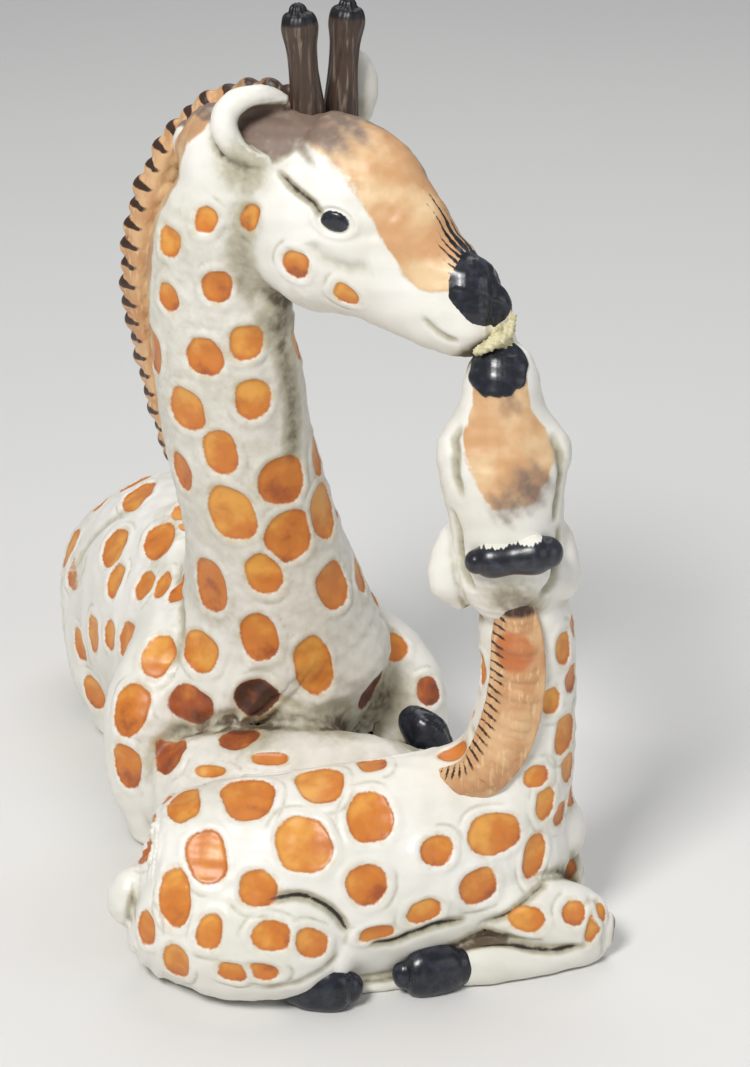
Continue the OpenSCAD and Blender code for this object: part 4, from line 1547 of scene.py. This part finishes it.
@dataclass(frozen=True)
class Streaked:
    """A glaze brushed in strokes over a darker ground.

    Attributes:
        name: The material's name.
        light: Colour of the strokes.
        middle: Usual colour.
        dark: Colour of the notches, the tip and the painted shade along a mane's root.
        stretch: How long the strokes are along each axis, as a scale.
        plain: Share of the surface left in the usual colour.
        ruddy: Colour of a blotch.
    """

    name: str
    light: Colour
    middle: Colour
    dark: Colour
    stretch: tuple[float, float, float]
    plain: float
    ruddy: Colour = tint(190, 112, 62)

    def material(self, groups: Groups) -> bpy.types.Material:
        """Builds the material.

        Args:
            groups: The shared node groups.

        Returns:
            The material.
        """
        material, net, shader = new_material(self.name)
        place = net.place()
        stroke = net.add("ShaderNodeMapping", {"Vector": place, "Scale": self.stretch}).outputs["Vector"]
        bristle = net.noise(stroke, 1.0, 5.0)
        broad = net.noise(place, 120.0, 3.0)
        pale = net.times(net.step(broad, 0.35, 0.65), 1.0 - self.plain)
        colour = net.mix(pale, self.middle, self.light)
        colour = net.mix(net.step(bristle, 0.52, 0.74), colour, self.light)
        colour = net.mix(net.times(net.channel("ruddy"), net.step(broad, 0.1, 0.6)), colour, self.ruddy)
        notch = net.times(net.channel("notch"), net.plus(0.4, bristle), clamp=True)
        colour = net.mix(net.step(notch, 0.25, 0.75), colour, self.dark)
        surface = groups.rough(net, 0.4, 0.5)
        height = net.plus(surface.outputs["Height"], net.times(bristle, 0.8))
        net.link(shader, {"Base Color": colour, "Normal": net.bump(height, 0.5),
                          "Roughness": net.plus(0.42, net.times(surface.outputs["Dullness"], 0.3))})
        return material


@dataclass(frozen=True)
class PlainGlaze:
    """A glaze of one colour with cloudy unevenness.

    Attributes:
        name: The material's name.
        colour: Usual colour.
        other: Colour of the clouds.
        roughness: Usual roughness.
        pitting: How pitted it is.
    """

    name: str
    colour: Colour
    other: Colour
    roughness: float
    pitting: float

    def material(self, groups: Groups) -> bpy.types.Material:
        """Builds the material.

        Args:
            groups: The shared node groups.

        Returns:
            The material.
        """
        material, net, shader = new_material(self.name)
        cloud = net.step(net.noise(net.place(), 350.0, 5.0), 0.4, 0.7)
        surface = groups.rough(net, 0.5, self.pitting)
        net.link(shader, {"Base Color": net.mix(cloud, self.colour, self.other),
                          "Roughness": net.plus(self.roughness, net.times(surface.outputs["Dullness"], 0.3)),
                          "Normal": net.bump(surface.outputs["Height"], 0.4)})
        return material


# ---- Manes ----

def tuft_tree(material: bpy.types.Material) -> bpy.types.NodeTree:
    """Builds the geometry nodes that fuse a row of tufts along a path.

    Args:
        material: Finish of the result.

    Returns:
        The node tree.
    """
    tree = bpy.data.node_groups.new("tufts_along_path", "GeometryNodeTree")
    face = tree.interface
    face.new_socket("Geometry", in_out="INPUT", socket_type="NodeSocketGeometry")
    for key, kind, value in (("Tufts", "NodeSocketInt", 24), ("Lean", "NodeSocketFloat", 0.4),
                             ("Voxel", "NodeSocketFloat", 0.0005), ("Unevenness", "NodeSocketFloat", 0.12),
                             ("Seed", "NodeSocketInt", SEED)):
        face.new_socket(key, in_out="INPUT", socket_type=kind).default_value = value
    face.new_socket("Geometry", in_out="OUTPUT", socket_type="NodeSocketGeometry")
    net = Net(tree)
    given = net.add("NodeGroupInput").outputs
    curve = net.add("GeometryNodeMeshToCurve", {"Mesh": given["Geometry"]}).outputs["Curve"]
    row = net.add("GeometryNodeResampleCurve", {"Curve": curve, "Count": given["Tufts"]}).outputs["Curve"]
    out, size = (net.add("GeometryNodeInputNamedAttribute", {"Name": key}, data_type="FLOAT_VECTOR")
                 .outputs["Attribute"] for key in ("out", "size"))
    along = net.add("GeometryNodeInputTangent").outputs[0]

    def facing(way: Socket) -> Socket:
        """A turn that points Z that way and X along the path."""
        turn = net.add("FunctionNodeAlignEulerToVector", {"Vector": way}, axis="Z").outputs[0]
        return net.add("FunctionNodeAlignEulerToVector", {"Rotation": turn, "Vector": along}, axis="X",
                       pivot_axis="Z").outputs[0]

    leaning = net.add("ShaderNodeVectorMath", {0: along, "Scale": given["Lean"]}, operation="SCALE").outputs[0]
    tip = net.add("ShaderNodeVectorMath", {0: out, 1: leaning}, operation="SUBTRACT").outputs[0]
    low = net.minus(1.0, given["Unevenness"])
    high = net.plus(1.0, given["Unevenness"])
    vary = net.add("FunctionNodeRandomValue", {2: low, 3: high, "Seed": given["Seed"]}, data_type="FLOAT").outputs[1]
    scale = net.add("ShaderNodeVectorMath", {0: size, "Scale": vary}, operation="SCALE").outputs[0]
    tuft = net.add("GeometryNodeMeshIcoSphere", {"Radius": 1.0, "Subdivisions": 3}).outputs["Mesh"]
    placed = net.add("GeometryNodeInstanceOnPoints", {"Points": row, "Instance": tuft, "Scale": scale,
                                                      "Rotation": facing(tip)})
    many = net.times(given["Tufts"], 4.0)
    ridge = net.add("GeometryNodeResampleCurve", {"Curve": curve, "Count": many}).outputs["Curve"]
    flat = net.add("ShaderNodeVectorMath", {0: size, 1: RIDGE_SCALE}, operation="MULTIPLY").outputs[0]
    base = net.add("GeometryNodeInstanceOnPoints", {"Points": ridge, "Instance": tuft, "Scale": flat,
                                                    "Rotation": facing(out)})
    joined = net.add("GeometryNodeJoinGeometry")
    tree.links.new(base.outputs[0], joined.inputs[0])
    tree.links.new(placed.outputs[0], joined.inputs[0])
    solid = net.add("GeometryNodeRealizeInstances", {"Geometry": joined.outputs[0]}).outputs[0]
    cloud = net.add("GeometryNodeMeshToVolume", {"Mesh": solid, "Voxel Size": given["Voxel"],
                                                 "Interior Band Width": 0.002}, resolution_mode="VOXEL_SIZE")
    skin = net.add("GeometryNodeVolumeToMesh", {"Volume": cloud.outputs[0], "Voxel Size": given["Voxel"],
                                                "Threshold": 0.1}, resolution_mode="VOXEL_SIZE").outputs[0]
    skin = net.add("GeometryNodeRealizeInstances", {"Geometry": skin}).outputs[0]
    end = net.add("GeometryNodeSetMaterial", {"Geometry": skin, "Material": material}).outputs[0]
    net.add("NodeGroupOutput", {"Geometry": end})
    return tree


@dataclass
class Mane:
    """A stiff mane: a row of fused tufts standing along the neck.

    Attributes:
        name: Name of the part.
        path: Rows of x, y, z, half width and half height, in millimetres.
        up: Direction that the tufts stand in.
        tufts: Number of tufts.
        lean: How far the tufts lean along the path.
        uneven: How much the tufts differ in size.
        fill: Length of a tuft against the room it has.
        slant: How far a notch leans along the path as it deepens.
        sweep: How far it leans across the mane.
        cut: Heights between which a notch fades in, as shares of the half height.
        hand: Side that the notches lie on, -1 or 1, or 0 for both.
        reach: Places across between which they fade in on that side.
        dark_end: Share of the path that is dark at its start.
        blotch: Middle and radius of an orange blotch, or nothing.
    """

    name: str
    path: list[list[float]]
    up: Point
    tufts: int
    lean: float
    uneven: float
    fill: float = 0.85
    slant: float = 0.0
    sweep: float = 0.0
    cut: tuple[float, float] = (-0.2, 0.5)
    hand: float = 0.0
    reach: tuple[float, float] = (-2.0, -1.0)
    dark_end: float = 0.02
    blotch: tuple | None = None

    def _guide(self, loft: Loft, pitch: float) -> bpy.types.Object:
        """A line along the path that carries the tufts' direction and size.

        Args:
            loft: The mane's form.
            pitch: Room for one tuft.

        Returns:
            The line as an object.
        """
        guide = bpy.data.meshes.new(self.name + "_guide")
        guide.from_pydata((loft.centre * MM).tolist(), [(i, i + 1) for i in range(len(loft.centre) - 1)], [])
        size = MM * np.stack([np.full(len(loft.radii), self.fill * pitch), loft.radii[:, 0],
                              loft.radii[:, 1] * 1.05], axis=1)
        for key, vectors in (("out", loft.high), ("size", size)):
            layer = guide.attributes.new(key, "FLOAT_VECTOR", "POINT")
            layer.data.foreach_set("vector", vectors.astype(np.float32).ravel())
        return new_object(self.name + "_guide", guide)

    def _grow(self, holder: bpy.types.Object, material: bpy.types.Material) -> bpy.types.Mesh:
        """Runs the tufts' nodes on the guide and gives their plain mesh.

        Args:
            holder: The guide, removed at the end.
            material: The finish.

        Returns:
            The mesh.
        """
        modifier = holder.modifiers.new("tufts", "NODES")
        modifier.node_group = tuft_tree(material)
        sockets = {item.name: item.identifier for item in modifier.node_group.interface.items_tree
                   if item.in_out == "INPUT"}
        for key, value in (("Tufts", self.tufts), ("Lean", self.lean), ("Unevenness", self.uneven)):
            modifier[sockets[key]] = value
        graph = bpy.context.evaluated_depsgraph_get()
        mesh = bpy.data.meshes.new_from_object(holder.evaluated_get(graph), depsgraph=graph)
        holder.modifiers.remove(modifier)
        bpy.data.objects.remove(holder)
        return mesh

    def _strokes(self, loft: Loft, points: Array, length: float) -> Paint:
        """Paints the notches between the tufts, a painted shade along the root, and the blotch.

        Args:
            loft: The mane's form.
            points: Points of the tufts, in millimetres.
            length: Length of the path.

        Returns:
            The paint channels.
        """
        along, _, _ = loft.local(points)
        index, share, _ = nearest(points, loft.centre)
        away = points - loft.between(loft.centre, index, share)
        rise = dots(away, loft.between(loft.high, index, share)) / loft.radii[index, 1]
        across = dots(away, loft.between(loft.side, index, share)) / loft.radii[index, 0]
        steps = np.concatenate([[0], np.cumsum(lengths(np.diff(loft.centre, axis=0)))])
        place = np.interp(along * (len(loft.centre) - 1), np.arange(len(steps)), steps) / length * (self.tufts - 1)
        notch = (place + self.slant * rise + self.sweep * across + 0.5) % 1.0
        notch = np.minimum(notch, 1 - notch) / (0.16 + 0.12 * np.clip(rise, 0, 1))
        depth = (1 - ramp(notch, 0.4, 1.1)) * ramp(rise, *self.cut) * ramp(self.hand * across, *self.reach)
        depth = np.maximum(depth, 0.8 * (1 - ramp(along, 0.0, self.dark_end)) * ramp(rise, -0.4, 0.4))
        # Painted shade along the mane's root, where it meets the neck.
        depth = np.maximum(depth, 0.3 * (1 - ramp(rise, -0.7, 0.0)))
        ruddy = np.zeros(len(points))
        if self.blotch:
            at, radius = self.blotch
            ruddy = 1 - ramp(lengths(points - at), 0.7 * radius, radius)
        return {"ruddy": ruddy, "notch": np.clip(depth, 0, 1)}

    def build(self, material: bpy.types.Material) -> bpy.types.Object:
        """Makes the mane.

        Args:
            material: Its finish.

        Returns:
            The piece.
        """
        loft = Loft(self.path, self.up, 8)
        length = lengths(np.diff(loft.centre, axis=0)).sum()
        mesh = self._grow(self._guide(loft, length / self.tufts), material)
        points = np.empty(len(mesh.vertices) * 3, np.float32)
        mesh.vertices.foreach_get("co", points)
        for key, values in self._strokes(loft, points.reshape(-1, 3).astype(float) / MM, length).items():
            mesh.attributes.new(key, "FLOAT", "POINT").data.foreach_set("value", values.astype(np.float32))
        mesh.shade_smooth()
        log.info("%s: %d tufts, %d faces", self.name, self.tufts, len(mesh.polygons))
        return new_object(self.name + "_tufts", mesh)


def both_manes() -> list[Mane]:
    """The mother's mane and the calf's."""
    return [
        Mane("mother_mane",
             [[-20, 38, 212.5, 2.2, 4], [-28, 41, 213.5, 2.6, 4.5], [-37, 43.5, 210.5, 2.8, 4],
              [-47, 46, 202, 3.2, 4.5], [-54.5, 48, 186, 3.2, 5.5], [-58.5, 51, 166, 3.2, 6],
              [-57.5, 56, 146, 3.2, 5.5], [-53.5, 61, 120, 3, 4.5], [-48, 71, 98, 3, 4.5],
              [-43, 84, 83, 2.5, 3.5], [-41, 91, 79, 2, 2]],
             (-1, 0.35, 0.35), tufts=33, lean=-0.35, uneven=0.1, fill=0.8, slant=-0.35, sweep=0.3,
             cut=(-0.35, 0.2), dark_end=0.35),
        Mane("calf_mane",
             [[34, -8, 100, 4, 3], [34.5, -7.5, 92, 5.5, 3.5], [34.5, -7.5, 78, 6, 3.5],
              [31.5, -8, 64, 6, 3.5], [25.5, -8, 54, 5, 4], [18, -4, 50, 3.5, 3], [12, -2, 50, 2, 2]],
             (-0.3, -1, 0.1), tufts=26, lean=0.4, uneven=0.08, fill=1.3, slant=0.2, sweep=0.6,
             cut=(-0.6, 0.2), hand=1.0, reach=(0.1, 0.8), dark_end=0.1, blotch=((33, -11, 89), 6.5))]


# ---- Small parts ----

def straight(root: Point, heading: Point, length: float,
             sections: list[tuple[float, float, float]]) -> list[list[float]]:
    """Stations on a straight line.

    Args:
        root: Where the line starts.
        heading: Its direction and stretch.
        length: Its length.
        sections: Share of the length, half width and half height of each.

    Returns:
        The stations.
    """
    return [[root[k] + heading[k] * length * share for k in range(3)] + [wide, high]
            for share, wide, high in sections]


class Moulding:
    """A small part shaped on its own fine grid."""

    def __init__(self, name: str, forms: list, soft: float = 1.0, voxel: float = FINE_VOXEL,
                 floor: bool = False) -> None:
        """Merges the part's forms.

        Args:
            name: Name of the part.
            forms: Its forms.
            soft: Softness of their joins.
            voxel: Side of a voxel.
            floor: Whether it is cut off level at z = 0.
        """
        self.name = name
        low = np.min([form.bounds()[0] for form in forms], axis=0) - 2.0
        high = np.max([form.bounds()[1] for form in forms], axis=0) + 2.0
        if floor:
            low[2] = min(low[2], -2.0)
        self.clay = Clay(low, high, voxel)
        for form in forms:
            self.clay.add(form, soft)
        if floor:
            self.clay.trim_floor(0.8)

    def build(self, relief: Callable[[Array], Array],
              paint: Callable[[Array], Paint] | None = None) -> bpy.types.Object:
        """Makes the piece.

        Args:
            relief: Function from points to relief heights.
            paint: Function from points to paint channels, or none.

        Returns:
            The piece.
        """
        points, quads = self.clay.skin()
        points = points + point_normals(points, quads) * relief(points)[:, None]
        channels = paint(points) if paint else None
        piece = make_piece(self.name + "_glazed", points, [quads], point_normals(points, quads), channels)
        log.info("%s: %d faces", self.name, 2 * len(quads))
        return piece


@dataclass
class SmallParts:
    """Horns, hooves and the crumb of slip that joins the noses."""

    horn_length: float = 29.0
    horn_thickness: float = 7.0
    horn_sections: tuple = ((-0.25, 0.72), (-0.12, 0.66), (0.12, 0.6), (0.45, 0.5), (0.68, 0.51), (0.85, 0.62),
                            (0.95, 0.52), (0.98, 0.3))
    bar_length: float = 20.0
    bar_thickness: float = 9.5
    bar_sections: tuple = ((-0.41, 0.32), (-0.28, 0.46), (0.0, 0.48), (0.28, 0.52), (0.41, 0.42))
    hoof_length: float = 15.0
    hoof_sections: tuple = ((0, 4, 5), (0.2, 5, 6.5), (0.6, 5.5, 7), (0.85, 4.8, 5.8), (0.93, 3.2, 4))

    def horn(self, name: str, root: Point, heading: Point) -> bpy.types.Object:
        """Makes one of the mother's horns.

        Args:
            name: Its name.
            root: Where it stands.
            heading: Its direction.

        Returns:
            The piece.
        """
        form = Loft(straight(root, heading, self.horn_length,
                             [(s, r * self.horn_thickness, r * self.horn_thickness) for s, r in self.horn_sections]),
                    (0, -1, 0))

        def relief(points: Array) -> Array:
            """Shallow flutes running up the horn."""
            _, angle, _ = form.local(points)
            return 0.16 * np.sin(np.radians(angle) * 9 + 0.25 * points[:, 2])

        def paint(points: Array) -> Paint:
            """Black knob and dusky foot."""
            along, _, _ = form.local(points)
            return {"notch": ramp(along, 0.7, 0.82) + 0.6 * (1 - ramp(along, 0.1, 0.35)), "ruddy": 0 * along}

        return Moulding(name, [form]).build(relief, paint)

    def hooves(self) -> dict[str, list[list[float]]]:
        """Stations of the three hooves, by name."""
        sections = list(self.hoof_sections)
        return {
            "mother_fore_hoof": [[8, 76, 27, 3, 4], [11, 73, 26, 4.5, 5.5], [14, 71, 24, 5, 6.5],
                                 [17, 71, 20, 4, 5]],
            "calf_fore_hoof": straight((21, -18.5, 5.5), (-0.97, -0.25, 0), self.hoof_length, sections),
            "calf_hind_hoof": straight((-20, -27, 5.5), (1, -0.05, 0), self.hoof_length, sections)}

    def hoof(self, name: str, stations: list[list[float]]) -> bpy.types.Object:
        """Makes a cloven hoof.

        Args:
            name: Its name.
            stations: Its sections.

        Returns:
            The piece.
        """
        form = Loft(stations)

        def relief(points: Array) -> Array:
            """The cleft between the two toes."""
            along, angle, _ = form.local(points)
            cleft = np.exp(-((angle - 75) / 12) ** 2) * ramp(along, 0.35, 0.6)
            return -0.7 * cleft

        return Moulding(name, [form], floor=True).build(relief)

    def bar(self, name: str, middle: Point, heading: Point) -> bpy.types.Object:
        """Makes the calf's black horn bar with its brushed cream edge.

        Args:
            name: Its name.
            middle: Its middle.
            heading: Its direction.

        Returns:
            The piece.
        """
        form = Loft(straight(middle, heading, self.bar_length,
                             [(s, r * self.bar_thickness, r * self.bar_thickness) for s, r in self.bar_sections]))

        def relief(points: Array) -> Array:
            """The slight waist between the two horns."""
            along, _, _ = form.local(points)
            return -0.35 * np.exp(-((along - 0.5) / 0.12) ** 2)

        def paint(points: Array) -> Paint:
            """Black, but for the top where the cream was brushed over."""
            zero = np.zeros(len(points))
            x = points[:, 0]
            teeth = 0.25 * np.sin(0.9 * x) + 0.15 * np.sin(3.1 * x + 1) + 0.15 * np.sin(6.3 * x)
            edge = points[:, 2] - (middle[2] + 3.9 + 0.16 * (x - middle[0])) + teeth
            return {"spot": zero + FAR, "tone": zero, "wash": zero + 0.1, "tan": zero + FAR, "dusk": zero,
                    "ink": edge, "line": zero}

        return Moulding(name, [form]).build(relief, paint)

    def crumb(self, name: str) -> bpy.types.Object:
        """Makes the rough crumb of slip between the noses."""
        forms = [Loft([[23.8, -1.6, 163.2, 1.2, 1.0], [26.5, -2.2, 165.0, 1.8, 1.4], [29, -1.6, 166.4, 2.0, 1.6],
                       [31.2, -0.6, 168.4, 1.5, 1.6]]),
                 Loft([[29.5, 1, 164, 3.0, 2.4], [29.5, 2, 166.5, 2.8, 2.4]]),
                 Loft([[31.4, -0.4, 168, 1.1, 1.0], [32.0, -0.2, 171.4, 0.9, 0.9]]),
                 Loft([[29.6, -1.4, 166.5, 0.9, 0.9], [29.2, -2.0, 169.2, 0.7, 0.7]])]

        def relief(points: Array) -> Array:
            """Crumbly lumps."""
            return 0.25 * np.sin(points @ [3.1, 1.3, 2.2]) * np.sin(points @ [-1.7, 2.9, 2.6] + 1)

        return Moulding(name, forms, 0.8, 0.35).build(relief)


# ---- Studio ----

@dataclass
class Studio:
    """A plain pale floor, soft lights and the camera."""

    distance: float = 0.7
    pitch: float = 24.0
    aim: Point = (0.0, 0.0, 0.116)
    focal: float = 98.1
    floor_side: float = 12.0
    floor_colour: Colour = tint(226, 225, 221)

    def floor(self) -> None:
        """Lays the floor."""
        side = self.floor_side / 2
        mesh = bpy.data.meshes.new("floor")
        mesh.from_pydata([(x, y, 0.0) for y in (-side, side) for x in (-side, side)], [], [(0, 1, 3, 2)])
        floor = new_object("floor", mesh)
        material, net, shader = new_material("floor_paper")
        cloud = net.noise(net.place(), 3.0, 2.0)
        net.link(shader, {"Base Color": net.mix(cloud, self.floor_colour, tint(220, 219, 216)), "Roughness": 0.8})
        mesh.materials.append(material)

    def light(self, name: str, place: Point, size: float, power: float, colour: Point = (1, 1, 1)) -> None:
        """Hangs one soft light aimed at the figurine.

        Args:
            name: Its name.
            place: Where it hangs, in metres.
            size: Side of the square it shines from.
            power: Power in watts.
            colour: Its colour.
        """
        lamp = bpy.data.lights.new(name, "AREA")
        lamp.shape, lamp.size, lamp.energy, lamp.color = "SQUARE", size, power, colour
        holder = new_object(name, lamp)
        holder.location = place
        holder.rotation_euler = (Vector(self.aim) - Vector(place)).to_track_quat("-Z", "Y").to_euler()

    def lights(self) -> None:
        """Hangs the lights and sets the sky."""
        self.light("key", (-0.35, -0.7, 0.95), 0.3, 11.0, (1.0, 0.99, 0.98))
        self.light("fill", (0.9, -0.6, 0.5), 0.7, 1.8, (0.95, 0.98, 1.0))
        self.light("top", (0.1, 0.6, 1.2), 0.9, 6.0)
        world = bpy.data.worlds.new("soft_sky")
        world.use_nodes = True
        Net(world.node_tree).link(world.node_tree.nodes["Background"],
                                  {"Color": (0.9, 0.93, 1.0, 1.0), "Strength": 0.28})
        bpy.context.scene.world = world
        bpy.context.scene.view_settings.view_transform = "Standard"

    def camera(self) -> None:
        """Sets up the camera."""
        lens = bpy.data.cameras.new("camera")
        lens.lens, lens.sensor_width, lens.clip_start = self.focal, 36.0, 0.01
        holder = new_object("camera", lens)
        turn = math.radians(self.pitch)
        holder.location = (self.aim[0], self.aim[1] - self.distance * math.cos(turn),
                           self.aim[2] + self.distance * math.sin(turn))
        holder.rotation_euler = (math.radians(90 - self.pitch), 0, 0)
        bpy.context.scene.camera = holder


# ---- Assembly ----

class Slot(Enum):
    """Finishes named by the part's record."""

    CREAM = "cream_glaze"
    BROWN = "brown_glaze"
    TAN = "tan_glaze"
    BLACK = "black_glaze"
    SLIP = "join_slip"


def fit(piece: bpy.types.Object, node: str, material: bpy.types.Material) -> None:
    """Puts a piece in the place of its solid.

    Args:
        piece: The piece.
        node: The solid it stands for.
        material: Its finish.
    """
    piece.data.materials.clear()
    piece.data.materials.append(material)
    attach(piece, "root")
    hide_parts(node)


def group_clay(clays: tuple[Clay, Clay]) -> Clay:
    """Both animals' clay on one coarse grid.

    Args:
        clays: The mother's clay and the calf's.

    Returns:
        A block that holds the nearer of the two distances.
    """
    both = Clay(np.minimum(clays[0].low, clays[1].low), np.array(GROUP_TOP), GROUP_VOXEL)
    axes = [both.low[k] + both.voxel * np.arange(both.count[k]) for k in range(3)]
    grid = np.stack(np.meshgrid(*axes, indexing="ij"), axis=-1).reshape(-1, 3)
    here = both.gap.reshape(-1)
    for clay in clays:
        top = clay.low + clay.voxel * (clay.count - 1)
        inside = np.all((grid >= clay.low) & (grid <= top), axis=1)
        here[inside] = np.minimum(here[inside], clay.sample(grid[inside]))
    return both


def build_animals(groups: Groups) -> bpy.types.Material:
    """Builds the two animals' skins.

    Args:
        groups: The shared node groups.

    Returns:
        The skins' finish.
    """
    rng = np.random.default_rng(SEED)
    mother, calf = Mother(), Calf()
    big = Animal(mother.parts(), MOTHER_VOXEL)
    small = Animal(calf.parts(), CALF_VOXEL)
    for animal, form in ((big, mother), (small, calf)):
        animal.clay.trim_floor()
        animal.clay.drill(*form.vent_at, form.vent_radius, VENT_DEPTH)
    both = group_clay((big.clay, small.clay))
    mother_hidden, calf_hidden = mother.hidden(rng), calf.hidden(rng)
    pieces = big.cut(mother.coat(big.clay, both, mother_hidden, rng), {"mother_head"})
    pieces |= small.cut(calf.coat(small.clay, both, calf_hidden, rng), {"calf_head"})
    skin = PaintedSkin().material(groups)
    for name, piece in pieces.items():
        fit(piece, name, skin)
    return skin


def build_manes(groups: Groups) -> None:
    """Builds the two manes.

    Args:
        groups: The shared node groups.
    """
    glaze = Streaked("mane_glaze", tint(226, 192, 146), tint(196, 144, 98), tint(58, 38, 28),
                     (900, 900, 160), 0.4).material(groups)
    for mane in both_manes():
        fit(mane.build(glaze), mane.name, glaze)


def build_small_parts(groups: Groups, skin: bpy.types.Material) -> None:
    """Builds the horns, the hooves and the crumb of slip.

    Args:
        groups: The shared node groups.
        skin: Finish of the animals' skins.
    """
    small = SmallParts()
    horn = Streaked("horn_glaze", tint(128, 112, 96), tint(62, 46, 36), tint(18, 18, 22),
                    (1100, 1100, 50), 0.9).material(groups)
    black = PlainGlaze("hoof_glaze", tint(28, 30, 36), tint(46, 49, 60), 0.25, 0.8).material(groups)
    slip = PlainGlaze("join_slip", tint(214, 206, 168), tint(176, 164, 122), 0.75, 2.0).material(groups)
    for name, root, heading in (("mother_right_horn", (-15.5, 32, 207), (-0.09, 0, 1)),
                                ("mother_left_horn", (-8.5, 39, 206.5), (0.07, 0.03, 1))):
        fit(small.horn(name, root, heading), name, horn)
    fit(small.bar("calf_horns", (32.4, -13.3, 115.8), (1, 0, 0.14)), "calf_horns", skin)
    for name, stations in small.hooves().items():
        fit(small.hoof(name, stations), name, black)
    fit(small.crumb("nose_join"), "nose_join", slip)


def main() -> None:
    """Builds the figurine and the studio round it."""
    logging.basicConfig(level=logging.INFO, format="%(message)s")
    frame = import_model()
    log.info("%d solids in the frame", len(frame["nodes"]))
    groups = Groups()
    skin = build_animals(groups)
    build_manes(groups)
    build_small_parts(groups, skin)
    studio = Studio()
    studio.floor()
    studio.lights()
    studio.camera()


if __name__ == "__main__":
    main()
